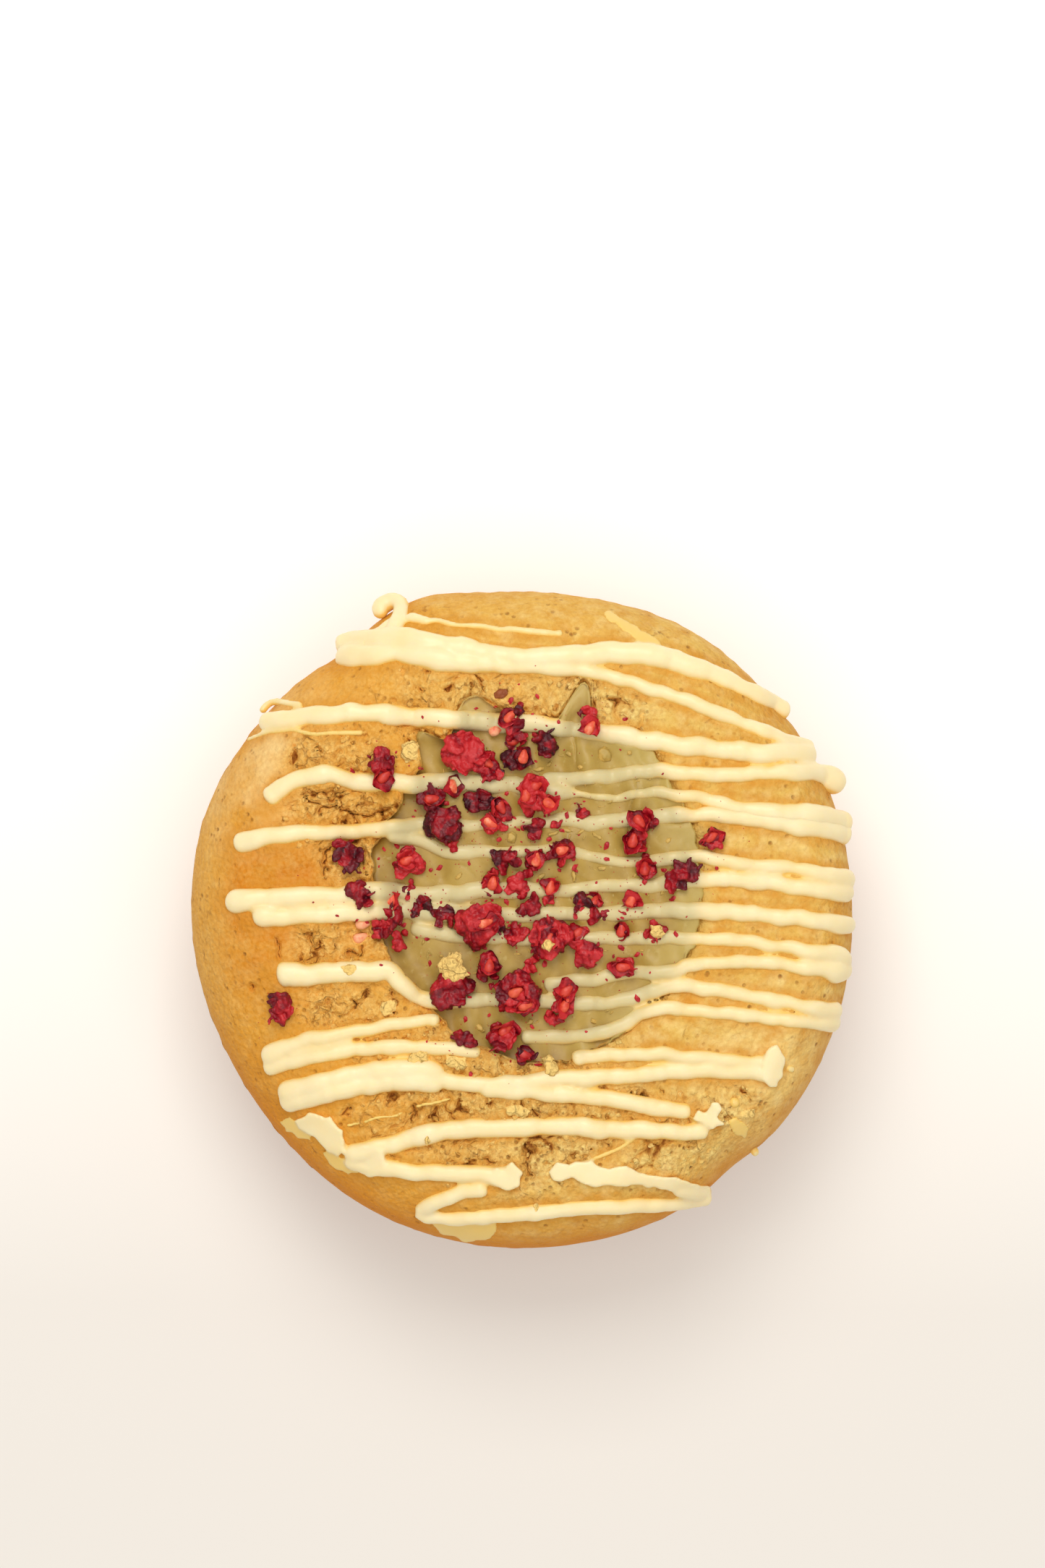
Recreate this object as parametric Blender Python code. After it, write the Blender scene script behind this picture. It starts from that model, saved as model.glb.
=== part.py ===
"""A deep dish cookie: a thick round cookie with a well of pistachio cream in its top, strings of
white chocolate drizzled from side to side and broken dried raspberries scattered over the cream.

It lies on its flat base with the filled face up. Sizes are in millimetres, and points are
turned into metres when a mesh is made. Angles are in degrees, anticlockwise from +X.
"""

import math
import random

import bmesh
import bpy
from mathutils import Matrix, Vector, noise

METRES = 0.001

# The cookie's body
RIM_RADIUS = 42.1
CROWN_HEIGHT = 33.0       # the crust's level round the well
CROWN_FALL = 2.2          # how far the top has dropped where the shoulder starts to turn
SHOULDER_DROP = 8.5
SHOULDER_WIDTH = 9.0      # as seen from above
SHOULDER_EXTRA = 2.5      # the left shoulder is wider by this, the right one narrower
BASE_SHARE = 0.915        # the base's radius as a share of the rim's, as a tin's side tapers
BASE_BUMPS = 0.35         # how much of the rim's bumps the base still has
BASE_CORNER = 2.0
CRUST_RELIEF = 0.3
CRUST_RELIEF_PITCH = 7.0
CRAG_RELIEF = 0.8         # deeper relief of the torn crust beside the well
CRAG_REACH = 6.0

# Where the round rim bulges or is broken away: angle, half width, size
RIM_BUMPS = [
    (108, 9, 1.3), (125, 6, -0.7), (58, 16, 0.8), (27, 13, 0.5), (160, 14, 0.8),
    (180, 16, 0.4), (-50, 7, -0.7), (-90, 22, -0.2), (-145, 24, -0.7),
]

# The well and its cream
WELL_CENTRE = (1.8, 4.8)
WELL_RADIUS = 20.7
WELL_BUMPS = [
    (110, 9, 4.3), (128, 4, 3.6), (77, 4, 5.4), (48, 9, 1.1), (10, 14, -0.5), (-88, 26, 1.7),
    (-140, 9, -0.8), (150, 5, -0.6), (168, 4, 0.6),
]
WELL_FLOOR = 18.0
CREAM_GAP = 0.4           # measured towards the well's centre
CREAM_RECESS = 2.1        # how far the cream lies below the crust, half way across
CREAM_RECESS_TILT = 1.2   # more on the left, less on the right
CREAM_DOME = 0.9
CREAM_FOLD = 0.45
CREAM_FOLD_PITCH = 6.5
CREAM_FOLD_SLANT = 0.35

# Broken ledges and hollows in the crust: x, y, spread, depth
CRUST_DENTS = [
    (-21.5, 11.0, 3.4, 2.2), (-20.5, 17.5, 2.2, 1.4), (-21.0, -1.5, 2.4, 1.3),
    (-12.5, -10.5, 2.2, 1.5), (-23.5, 36.0, 3.4, 1.6), (27.5, -31.5, 3.6, 1.5),
    (-14.0, 25.0, 2.4, 1.2), (1.0, 27.5, 2.2, 1.0),
]

# The grid that the body and the cream are built on
SECTORS = 56
TOP_SHARES = (0.0, 0.13, 0.3, 0.48, 0.65, 0.8, 0.91, 0.975, 1.0)
SIDE_SHARES = (0.93, 0.6, 0.25)
CORNER_TURNS = (0, 45, 90)
CREAM_SHARES = (1.06, 0.86, 0.62, 0.34)
SIDE_RELIEF_TURNS = 4     # how many swells the side's relief has from the middle to the rim
TRIM = 1.5                # how far the uncut body and cream reach past the well's edge and floor
CUTTER_SPARE = 15.0       # how far the well's cutter stands above the crust

# The white chocolate: name, width, then the route from left to right
STRING_SIDES = 6
STRING_STEP = 5.2
STRING_RISE = 0.42        # half height as a share of the width
STRING_SINK = 0.1         # how deep the string's middle lies, as a share of the width
TIP_REACH = 0.35          # a string's rounded end, as shares of the width
TIP_WIDTH = 0.6
SLOPE_REACH = 0.6         # the ground's slope is taken over this distance each way
BRIDGE = 3.2              # how far a string reaches over the cream before it lies on it
RIM_LIP = 0.5             # a string starts to turn down this far inside the rim
OVER_RIM = 0.9            # and then lies this much lower for each millimetre it reaches out
STRINGS = [
    ("curl_left", 2.2, [(-16.0, 36.6), (-18.6, 37.4), (-19.2, 39.6), (-17.6, 41.2)]),
    ("curl_right", 2.2, [(-17.6, 41.2), (-15.6, 40.2), (-15.4, 38.0), (-12.6, 38.2)]),
    ("top_thick", 3.8, [(-24.2, 34.0), (-19.5, 35.3), (-14, 34.6), (-7.5, 33.6), (0, 33.0)]),
    ("top_upper", 3.0, [(0, 33.0), (10.8, 34.0), (17.5, 33.4), (26, 30.2), (33.4, 26.8)]),
    ("top_lower", 2.2, [(0, 33.0), (9, 31.6), (19.6, 28.2), (30.7, 23.8), (36.8, 21.8)]),
    ("top_flat", 2.2, [(10.5, 38.8), (15.5, 36.3), (18.4, 33.8)]),
    ("b", 2.6, [(-33.3, 25.0), (-20, 26.5), (1.5, 25.2), (19, 22.6), (37.2, 21.2)]),
    ("c", 2.6, [(-32.6, 15.4), (-27.5, 18.4), (-13.7, 17.6), (5, 16.6), (20, 16.2), (41.6, 12.4)]),
    ("c_upper", 2.2, [(3.8, 17.8), (17.3, 19.3), (32.5, 18.8), (40.6, 17.0)]),
    ("d", 2.2, [(-36.6, 9.8), (-25, 11.4), (-13.7, 12.4), (9.7, 12.9), (24.9, 13.5), (41.2, 11.4)]),
    ("d_lower", 2.2, [(-17.3, 11.2), (-7.9, 9.4), (6, 9.2), (14, 7.9), (28.4, 7.4), (41.8, 5.2)]),
    ("e", 2.4, [(-37.6, 2.6), (-18.4, 4.0), (5, 4.1), (23, 5.5), (35.4, 4.5), (41.9, 3.2)]),
    ("e_lower", 2.4, [(-34.2, 0.6), (-16, 1.5), (5.6, 1.2), (24.9, 1.5), (42.1, -0.6)]),
    ("f", 2.2, [(-14.3, -0.8), (-4.4, -1.8), (21.9, -2.0), (33.6, -3.2), (41.7, -5.2)]),
    ("f_lower", 2.2, [(2.6, -7.9), (13.2, -6.4), (24.9, -5.0), (41.4, -5.9)]),
    ("g_left", 2.9, [(-31.2, -6.8), (-24.9, -6.4), (-17.6, -6.2)]),
    ("g", 2.2, [(-17.6, -6.2), (-12.6, -9.6), (5, -10.1), (19, -8.0), (30.7, -9.7), (40.4, -11.9)]),
    ("h", 2.2, [(-0.3, -14.6), (9, -14.0), (16, -11.0), (28, -11.7), (39.8, -13.3)]),
    ("i", 2.6, [(-33.0, -17.4), (-27, -14.8), (-18, -13.4), (-10.8, -13.2)]),
    ("i_lower", 2.2, [(-32.4, -19.0), (-23.1, -16.7), (-12.6, -15.3), (-5.6, -16.6)]),
    ("i_right", 2.2, [(6.1, -17.2), (16.1, -16.5), (32.0, -18.0)]),
    ("j", 3.6, [(-31.0, -22.4), (-26, -21.1), (-19, -19.4), (-12, -19.3)]),
    ("j_upper", 2.3, [(-12, -19.3), (-3, -20.6), (13.2, -19.3), (31.9, -19.2)]),
    ("j_lower", 2.3, [(-6.0, -20.9), (4.4, -21.6), (13, -22.6), (21.4, -24.4)]),
    ("k", 2.4, [(-22.2, -29.6), (-10.2, -26.4), (4.4, -25.7), (24.2, -26.3)]),
    ("k_lower", 2.3, [(-22.2, -29.6), (-16.1, -31.2), (-0.4, -32.2)]),
    ("shard", 3.0, [(-28.4, -24.8), (-23.6, -28.0)]),
    ("l", 3.2, [(3.8, -31.4), (10, -30.9), (17, -32.8), (23.7, -35.2)]),
    ("l_lower", 2.4, [(23.7, -35.2), (7.3, -36.0), (-4.4, -37.0), (-12.6, -37.0)]),
    ("l_turn", 2.2, [(-12.6, -37.0), (-10.2, -34.9), (-4.6, -33.4)]),
]

# The broken raspberries on the cream and on the crust: x, y, length, width, turn
LUMPINESS = 0.55
BERRY_SWELL = 0.56        # half the length and the width, with some over for what the lumps take
BERRY_RISE = 0.62         # height as a share of the width
BERRY_LIFT = 0.2          # how far the middle lies above the ground, as a share of the height
BERRY_LUMPS = 3
BERRY_SEED = 4
FINE_BERRY = 5.5          # pieces longer than this have four times the faces
CREAM_BERRIES = [
    (-7.3, 21.4, 6.4, 5.3, -10), (-4.2, 19.0, 3.6, 3.0, -30), (-0.9, 24.0, 3.4, 3.2, 60),
    (2.6, 22.8, 3.8, 3.4, 80), (-1.2, 20.6, 3.6, 2.9, 10), (8.4, 25.8, 3.5, 3.2, 40),
    (-11.7, 15.8, 3.6, 3.5, 0), (-10.2, 12.6, 5.4, 5.0, -40), (-5.6, 15.5, 5.6, 3.2, 5),
    (-3.8, 12.6, 4.4, 2.9, -10), (1.5, 15.8, 5.3, 4.5, -60), (1.2, 11.6, 3.5, 2.9, 80),
    (14.9, 13.0, 3.6, 3.3, -30), (14.4, 10.2, 3.8, 3.4, 50), (15.4, 7.0, 3.8, 2.2, 85),
    (-14.6, 7.4, 4.4, 3.9, 20), (-2.3, 7.9, 4.1, 3.5, -20), (1.4, 8.0, 3.5, 2.9, 80),
    (4.7, 8.8, 3.8, 3.4, 15), (-0.4, 5.2, 4.3, 3.2, 50), (-13.0, 2.0, 3.4, 2.7, 80),
    (-10.2, 0.8, 3.5, 3.2, -30), (-5.3, -0.3, 6.4, 5.6, 20), (0.4, 2.4, 4.1, 3.2, 25),
    (-1.2, -1.3, 3.3, 3.1, 0), (7.3, 2.5, 3.5, 2.7, -10), (9.4, 1.4, 4.8, 2.6, 70),
    (3.2, -2.0, 6.2, 5.4, 60), (7.9, -3.8, 4.4, 4.0, 70), (16.4, -1.0, 3.0, 2.9, 0),
    (12.6, -5.6, 3.5, 2.6, 10), (-4.4, -5.9, 5.2, 3.1, 85), (-9.0, -8.4, 5.6, 5.2, 60),
    (-0.9, -8.8, 6.1, 5.7, -40), (5.0, -9.8, 4.4, 3.4, 70), (-2.6, -14.4, 4.4, 3.8, 40),
    (19.9, 5.9, 5.9, 4.1, -30),
]
CRUST_BERRIES = [
    (-22.1, 8.4, 5.6, 3.8, -60), (-20.7, 3.6, 4.6, 3.3, -50), (-17.8, 20.2, 5.2, 4.0, 70),
    (24.0, 10.5, 3.5, 3.2, 20), (-30.7, -10.8, 4.7, 3.8, 70),
]

# Materials
CRUST_COLOUR = (0.72, 0.42, 0.14)
CREAM_COLOUR = (0.42, 0.36, 0.11)
CRUST_ROUGHNESS = 0.75
CREAM_ROUGHNESS = 0.4
SHARP_ANGLE = 50          # edges turning more than this are shaded sharp


def direction(angle):
    """The unit vector at an angle, seen from above."""
    return math.cos(math.radians(angle)), math.sin(math.radians(angle))


def bumps_at(angle, bumps):
    """The sum of the round bumps that a table sets round a circle."""
    total = 0.0
    for middle, half_width, size in bumps:
        away = (angle - middle + 180) % 360 - 180
        total += size * math.exp(-((away / half_width) ** 2))
    return total


def rim_radius(angle):
    return RIM_RADIUS + bumps_at(angle, RIM_BUMPS)


def well_radius(angle):
    return WELL_RADIUS + bumps_at(angle, WELL_BUMPS)


def past_well(x, y):
    """How far a point lies outside the well's outline, negative over the cream."""
    away_x, away_y = x - WELL_CENTRE[0], y - WELL_CENTRE[1]
    return math.hypot(away_x, away_y) - well_radius(math.degrees(math.atan2(away_y, away_x)))


def smooth_step(value):
    value = min(max(value, 0.0), 1.0)
    return value * value * (3 - 2 * value)


def relief(x, y, pitch):
    return noise.noise(Vector((x / pitch, y / pitch, 0)))


def crust_height(x, y):
    """The crust's level: a low crown, a round shoulder, soft relief, and crags beside the well."""
    angle = math.degrees(math.atan2(y, x))
    reach, rim = math.hypot(x, y), rim_radius(angle)
    height = CROWN_HEIGHT - CROWN_FALL * (reach / rim) ** 2
    shoulder = SHOULDER_WIDTH - SHOULDER_EXTRA * direction(angle)[0]
    turned = min(max(1 - (rim - reach) / shoulder, 0.0), 1.0)
    height -= SHOULDER_DROP * (1 - math.sqrt(1 - turned ** 2))
    height += CRUST_RELIEF * relief(x, y, CRUST_RELIEF_PITCH)
    torn = 1 - smooth_step(past_well(x, y) / CRAG_REACH)
    height += torn * CRAG_RELIEF * relief(x, y, CRUST_RELIEF_PITCH / 2)
    for dent_x, dent_y, spread, depth in CRUST_DENTS:
        height -= depth * math.exp(-((x - dent_x) ** 2 + (y - dent_y) ** 2) / spread ** 2)
    return height


def cream_height(x, y):
    """The cream's level: a low dome with soft folds, deepest below the crust on the left."""
    across = (x - WELL_CENTRE[0]) / WELL_RADIUS
    out = math.hypot(x - WELL_CENTRE[0], y - WELL_CENTRE[1]) / WELL_RADIUS
    height = CROWN_HEIGHT - CREAM_RECESS + CREAM_RECESS_TILT * across
    height += CREAM_DOME * (1 - out ** 2)
    turns = (x + CREAM_FOLD_SLANT * y) / CREAM_FOLD_PITCH
    return height + CREAM_FOLD * math.sin(turns * math.tau)


def ground(x, y):
    """The level that a string or a raspberry lies on. A string bridges the well's edge."""
    angle = math.degrees(math.atan2(y, x))
    lip = rim_radius(angle) - RIM_LIP
    past_lip = math.hypot(x, y) - lip
    if past_lip > 0:
        along_x, along_y = direction(angle)
        return crust_height(lip * along_x, lip * along_y) - OVER_RIM * past_lip
    inside = smooth_step(-past_well(x, y) / BRIDGE)
    return crust_height(x, y) * (1 - inside) + cream_height(x, y) * inside


def make_object(name, shape):
    """An object whose faces are triangles that point outwards, so that fusing leaves them flat."""
    bmesh.ops.triangulate(shape, faces=shape.faces)
    bmesh.ops.recalc_face_normals(shape, faces=shape.faces)
    mesh = bpy.data.meshes.new(name)
    shape.to_mesh(mesh)
    shape.free()
    made = bpy.data.objects.new(name, mesh)
    bpy.context.scene.collection.objects.link(made)
    return made


def stacked_rings(name, first_centre, rings, last_centre):
    """A closed solid from rings of equal count, each end closed by a fan round its centre."""
    shape = bmesh.new()
    first = shape.verts.new(Vector(first_centre) * METRES)
    last = shape.verts.new(Vector(last_centre) * METRES)
    levels = [[shape.verts.new(Vector(point) * METRES) for point in ring] for ring in rings]
    for i in range(len(rings[0])):
        shape.faces.new((first, levels[0][i - 1], levels[0][i]))
        shape.faces.new((last, levels[-1][i], levels[-1][i - 1]))
        for inner, outer in zip(levels, levels[1:]):
            shape.faces.new((inner[i - 1], outer[i - 1], outer[i], inner[i]))
    return make_object(name, shape)


def sector_angles():
    return [360 * i / SECTORS for i in range(SECTORS)]


def round_well(angle, radius):
    """The point at an angle and a distance from the well's centre."""
    along_x, along_y = direction(angle)
    return WELL_CENTRE[0] + radius * along_x, WELL_CENTRE[1] + radius * along_y


def top_ring(share):
    """A ring of the crust between the well's edge, share 0, and the rim, share 1."""
    ring = []
    for angle in sector_angles():
        along_x, along_y = direction(angle)
        well_x, well_y = round_well(angle, well_radius(angle) - TRIM)
        x = well_x * (1 - share) + rim_radius(angle) * along_x * share
        y = well_y * (1 - share) + rim_radius(angle) * along_y * share
        ring.append((x, y, crust_height(x, y)))
    return ring


def base_radius(angle):
    """The base is rounder than the rim, whose bumps fade out towards it."""
    return BASE_SHARE * (RIM_RADIUS + BASE_BUMPS * bumps_at(angle, RIM_BUMPS))


def side_ring(share):
    """A ring of the side at a share of the rim's height, on the taper from the rim to the base."""
    ring = []
    for angle in sector_angles():
        along_x, along_y = direction(angle)
        rim = rim_radius(angle)
        level = crust_height(rim * along_x, rim * along_y) * share
        radius = base_radius(angle) * (1 - share) + rim * share
        swell = Vector((along_x, along_y, share)) * SIDE_RELIEF_TURNS
        radius += CRUST_RELIEF * noise.noise(swell)
        ring.append((radius * along_x, radius * along_y, level))
    return ring


def corner_ring(turn):
    """A ring of the rounded corner between the side and the flat base."""
    inset = BASE_CORNER * (1 - math.cos(math.radians(turn)))
    level = BASE_CORNER * (1 - math.sin(math.radians(turn)))
    ring = []
    for angle in sector_angles():
        radius = base_radius(angle) - inset
        along_x, along_y = direction(angle)
        ring.append((radius * along_x, radius * along_y, level))
    return ring


def cookie_body():
    """The cookie without its well, from the crust's middle out over the rim and down."""
    rings = [top_ring(share) for share in TOP_SHARES]
    rings += [side_ring(share) for share in SIDE_SHARES]
    rings += [corner_ring(turn) for turn in CORNER_TURNS]
    return stacked_rings("cookie", (*WELL_CENTRE, CROWN_HEIGHT), rings, (0, 0, 0))


def cream_body():
    """The cream, wider than the well, which trims it afterwards."""
    rings = []
    for share in reversed(CREAM_SHARES):
        ring = []
        for angle in sector_angles():
            x, y = round_well(angle, well_radius(angle) * share)
            ring.append((x, y, cream_height(x, y)))
        rings.append(ring)
    floor = WELL_FLOOR - TRIM
    rings.append([(x, y, floor) for x, y, _ in rings[-1]])
    top = (*WELL_CENTRE, cream_height(*WELL_CENTRE))
    return stacked_rings("filling", top, rings, (*WELL_CENTRE, floor))


def well_cutter(name, inset, floor):
    """An upright prism with the well's outline, which cuts the well or trims the cream."""
    ceiling = CROWN_HEIGHT + CUTTER_SPARE
    outline = [round_well(angle, well_radius(angle) - inset) for angle in sector_angles()]
    rings = [[(x, y, level) for x, y in outline] for level in (ceiling, floor)]
    cutter = stacked_rings(name, (*WELL_CENTRE, ceiling), rings, (*WELL_CENTRE, floor))
    cutter.hide_render = True
    cutter.display_type = "WIRE"
    return cutter


def spline_point(before, start, end, after, share):
    """A point on the smooth curve from start to end, steered by the points on either side."""
    pairs = zip(before, start, end, after)
    return [
        0.5 * (2 * b + (c - a) * share + (2 * a - 5 * b + 4 * c - d) * share ** 2
               + (3 * b - a - 3 * c + d) * share ** 3)
        for a, b, c, d in pairs
    ]


def smooth_route(route):
    """The route as a smooth curve, with points about one step apart."""
    guides = [route[0], *route, route[-1]]
    points = []
    for i in range(len(route) - 1):
        steps = max(1, round(math.dist(route[i], route[i + 1]) / STRING_STEP))
        for k in range(steps):
            points.append(spline_point(*guides[i:i + 4], k / steps))
    return points + [route[-1]]


def string_ring(centre, along, width, share):
    """One cross-section of a string, tilted with the ground under it."""
    x, y, reach = centre.x, centre.y, SLOPE_REACH
    slope_x = (ground(x + reach, y) - ground(x - reach, y)) / (2 * reach)
    slope_y = (ground(x, y + reach) - ground(x, y - reach)) / (2 * reach)
    up = Vector((-slope_x, -slope_y, 1)).normalized()
    side = along.cross(up).normalized()
    up = side.cross(along).normalized()
    ring = []
    for k in range(STRING_SIDES):
        out = direction(360 * k / STRING_SIDES)
        ring.append(centre + share * width * (0.5 * out[0] * side + STRING_RISE * out[1] * up))
    return ring


def chocolate_string(name, width, route):
    """A string of chocolate along its route, half sunk in the ground, with rounded ends."""
    points = []
    for x, y in smooth_route(route):
        points.append(Vector((x, y, ground(x, y) - STRING_SINK * width)))
    rings = []
    for i, point in enumerate(points):
        along = (points[min(i + 1, len(points) - 1)] - points[max(i - 1, 0)]).normalized()
        tip = along * width * TIP_REACH
        if i == 0:
            rings.append(string_ring(point - tip, along, width, TIP_WIDTH))
        rings.append(string_ring(point, along, width, 1))
        if i == len(points) - 1:
            rings.append(string_ring(point + tip, along, width, TIP_WIDTH))
    first = sum(rings[0], Vector()) / STRING_SIDES
    last = sum(rings[-1], Vector()) / STRING_SIDES
    return stacked_rings(name, first, rings, last)


def berry_piece(name, x, y, length, width, turn, draw):
    """A ragged crumb of dried raspberry, flatter than it is wide, part sunk in what it lies on."""
    shape = bmesh.new()
    fineness = 2 if length > FINE_BERRY else 1
    bmesh.ops.create_icosphere(shape, subdivisions=fineness, radius=BERRY_SWELL)
    offset = Vector([draw.uniform(0, 20) for _ in range(3)])
    height = BERRY_RISE * width
    spin = Matrix.Rotation(math.radians(turn), 3, "Z")
    place = Vector((x, y, ground(x, y) + BERRY_LIFT * height))
    for corner in shape.verts:
        swell = 1 + LUMPINESS * noise.noise(corner.co * BERRY_LUMPS + offset)
        sized = Vector((corner.co.x * length, corner.co.y * width, corner.co.z * height))
        corner.co = (place + spin @ sized * swell) * METRES
    return make_object(name, shape)


def apply_modifiers(made):
    """The object's mesh becomes what its modifiers make of it."""
    graph = bpy.context.evaluated_depsgraph_get()
    made.data = bpy.data.meshes.new_from_object(made.evaluated_get(graph))
    made.modifiers.clear()


def fuse(body, toppings):
    """Joins the toppings to the body with one Boolean union, and removes them."""
    group = bpy.data.collections.new(body.name + "_toppings")
    bpy.context.scene.collection.children.link(group)
    for topping in toppings:
        bpy.context.scene.collection.objects.unlink(topping)
        group.objects.link(topping)
    union = body.modifiers.new("Union", "BOOLEAN")
    union.operation = "UNION"
    union.solver = "MANIFOLD"
    union.operand_type = "COLLECTION"
    union.collection = group
    apply_modifiers(body)
    for topping in toppings:
        bpy.data.objects.remove(topping)
    bpy.data.collections.remove(group)


def trim(body, cutter, operation):
    """Cuts the body with a closed cutter, then removes the cutter."""
    cut = body.modifiers.new("Trim", "BOOLEAN")
    cut.operation = operation
    cut.solver = "MANIFOLD"
    cut.object = cutter
    apply_modifiers(body)
    bpy.data.objects.remove(cutter)


def shell_of(first, waiting):
    """The faces joined to one face across their edges, taken out of the waiting set."""
    shell, reached = [], [first]
    waiting.discard(first)
    while reached:
        face = reached.pop()
        shell.append(face)
        beside = {other for edge in face.edges for other in edge.link_faces} & waiting
        waiting -= beside
        reached += beside
    return shell


def keep_largest_shell(body):
    """Drops loose scraps, and fills any hollow that fusing has sealed."""
    shape = bmesh.new()
    shape.from_mesh(body.data)
    waiting, shells = set(shape.faces), []
    for face in shape.faces:
        if face in waiting:
            shells.append(shell_of(face, waiting))
    largest = max(shells, key=len)
    scraps = [face for shell in shells if shell is not largest for face in shell]
    bmesh.ops.delete(shape, geom=scraps, context="FACES")
    shape.to_mesh(body.data)
    shape.free()


def finish(body, colour, roughness):
    """Shades the piece smooth and gives it its material."""
    body.data.shade_smooth()
    body.data.set_sharp_from_angle(angle=math.radians(SHARP_ANGLE))
    material = bpy.data.materials.new(body.name)
    material.use_nodes = True
    shader = material.node_tree.nodes["Principled BSDF"]
    shader.inputs["Base Color"].default_value = (*colour, 1)
    shader.inputs["Roughness"].default_value = roughness
    shader.inputs["Metallic"].default_value = 0.0
    body.data.materials.clear()
    body.data.materials.append(material)


def toppings(prefix, side, berries, draw):
    """The strings that lie on one side of the well's edge, and the raspberries there."""
    made = []
    for name, width, route in STRINGS:
        if max(side * past_well(x, y) for x, y in smooth_route(route)) > 0:
            made.append(chocolate_string(f"{prefix}_{name}", width, route))
    for number, berry in enumerate(berries):
        made.append(berry_piece(f"{prefix}_berry_{number}", *berry, draw))
    return made


def make_cookie(draw):
    body = cookie_body()
    fuse(body, toppings("crust", 1, CRUST_BERRIES, draw))
    trim(body, well_cutter("well", 0, WELL_FLOOR), "DIFFERENCE")
    keep_largest_shell(body)
    finish(body, CRUST_COLOUR, CRUST_ROUGHNESS)


def make_filling(draw):
    body = cream_body()
    fuse(body, toppings("cream", -1, CREAM_BERRIES, draw))
    trim(body, well_cutter("well_inside", CREAM_GAP, WELL_FLOOR + CREAM_GAP), "INTERSECT")
    keep_largest_shell(body)
    finish(body, CREAM_COLOUR, CREAM_ROUGHNESS)


def make_model():
    for old in list(bpy.data.objects):
        bpy.data.objects.remove(old)
    draw = random.Random(BERRY_SEED)
    make_cookie(draw)
    make_filling(draw)


make_model()
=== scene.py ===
"""A deep dish cookie, lying on its base and seen from straight above: a thick golden cookie with a
well of pistachio cream, strings of white chocolate from side to side and broken dried raspberries.

Sizes are in millimetres until a mesh is made, and angles in degrees, anticlockwise from +X.
"""

import math
import random

import bpy
from mathutils import Matrix, Vector, noise
from mathutils.bvhtree import BVHTree
from mathutils.kdtree import KDTree


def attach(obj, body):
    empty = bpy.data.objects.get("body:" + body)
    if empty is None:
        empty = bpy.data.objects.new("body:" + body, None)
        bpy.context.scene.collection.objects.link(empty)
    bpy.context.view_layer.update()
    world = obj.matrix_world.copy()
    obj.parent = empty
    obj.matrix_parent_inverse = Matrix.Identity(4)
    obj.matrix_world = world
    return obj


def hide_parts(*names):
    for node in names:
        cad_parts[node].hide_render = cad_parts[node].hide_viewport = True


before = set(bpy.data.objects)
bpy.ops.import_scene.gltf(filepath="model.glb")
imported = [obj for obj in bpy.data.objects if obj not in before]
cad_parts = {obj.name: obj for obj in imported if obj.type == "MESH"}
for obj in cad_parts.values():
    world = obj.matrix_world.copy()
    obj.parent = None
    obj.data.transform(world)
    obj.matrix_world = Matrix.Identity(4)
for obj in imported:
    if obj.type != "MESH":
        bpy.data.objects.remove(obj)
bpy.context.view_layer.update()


# The cookie. A thick round of golden dough, baked in a deep tin whose side tapers to the base, with
# a well in its top. The shoulder baked smooth, and round the well the crumb has cracked and torn.

MM = 0.001
RIM_RADIUS = 42.1
CROWN_HEIGHT = 33.0
CROWN_FALL = 2.2
SHOULDER_DROP = 8.5
SHOULDER_WIDTH = 9.0
SHOULDER_EXTRA = 2.5      # the left shoulder is wider by this, the right one narrower
BASE_SHARE = 0.915
BASE_BUMPS = 0.35
BASE_CORNER = 2.0
RIM_BUMPS = [             # where the round rim bulges or is broken away: angle, half width, size
    (108, 9, 1.3), (125, 6, -0.7), (58, 16, 0.8), (27, 13, 0.5), (160, 14, 0.8),
    (180, 16, 0.4), (-50, 7, -0.7), (-90, 22, -0.2), (-145, 24, -0.7),
]
WELL_CENTRE = (1.8, 4.8)
WELL_RADIUS = 20.7
WELL_BUMPS = [
    (110, 9, 4.3), (128, 4, 3.6), (77, 4, 5.4), (48, 9, 1.1), (10, 14, -0.5), (-88, 26, 1.7),
    (-140, 9, -0.8), (150, 5, -0.6), (168, 4, 0.6),
]
WELL_FLOOR = 18.0
CRUST_DENTS = [           # broken ledges and hollows: x, y, spread, depth
    (-21.5, 11.0, 3.4, 2.2), (-20.5, 17.5, 2.2, 1.4), (-21.0, -1.5, 2.4, 1.3),
    (-12.5, -10.5, 2.2, 1.5), (-23.5, 36.0, 3.4, 1.6), (27.5, -31.5, 3.6, 1.5),
    (-14.0, 25.0, 2.4, 1.2), (1.0, 27.5, 2.2, 1.0),
]
CRUMBLY_SPOTS = [         # where the crust has broken into crumbs: x, y, spread, how much
    (-14, 29.5, 6, 0.9), (-4, 30.0, 5, 1.0), (6, 29.0, 5, 1.0), (14, 26.5, 5, 0.8),
    (-22, 21.0, 6, 0.9), (-23, 13.5, 6, 1.0), (-20, 7.0, 5, 1.0), (-23, -2.0, 6, 0.9),
    (-22, -10.5, 6, 0.7), (-11, -16.5, 6, 1.0), (-1, -20.5, 5, 0.8), (-17, -24.0, 7, 1.0),
    (-4, -24.5, 7, 1.0), (8, -24.0, 7, 0.9), (-6, -29.5, 6, 0.9), (3, -30.0, 5, 1.0),
    (18, -29.5, 7, 0.9), (26, -24.5, 6, 0.8), (12, -20.5, 5, 0.5), (25, 24.5, 6, 0.5),
    (27, 10.0, 6, 0.35), (26, -13.0, 7, 0.35), (28, 0.0, 6, 0.25), (-28, 21.0, 4, 0.7),
    (-28, 13.0, 4, 0.5), (-28, -2.0, 4, 0.5), (-26, -9.0, 4, 0.5), (-19, -14.5, 4, 0.5),
]
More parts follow.
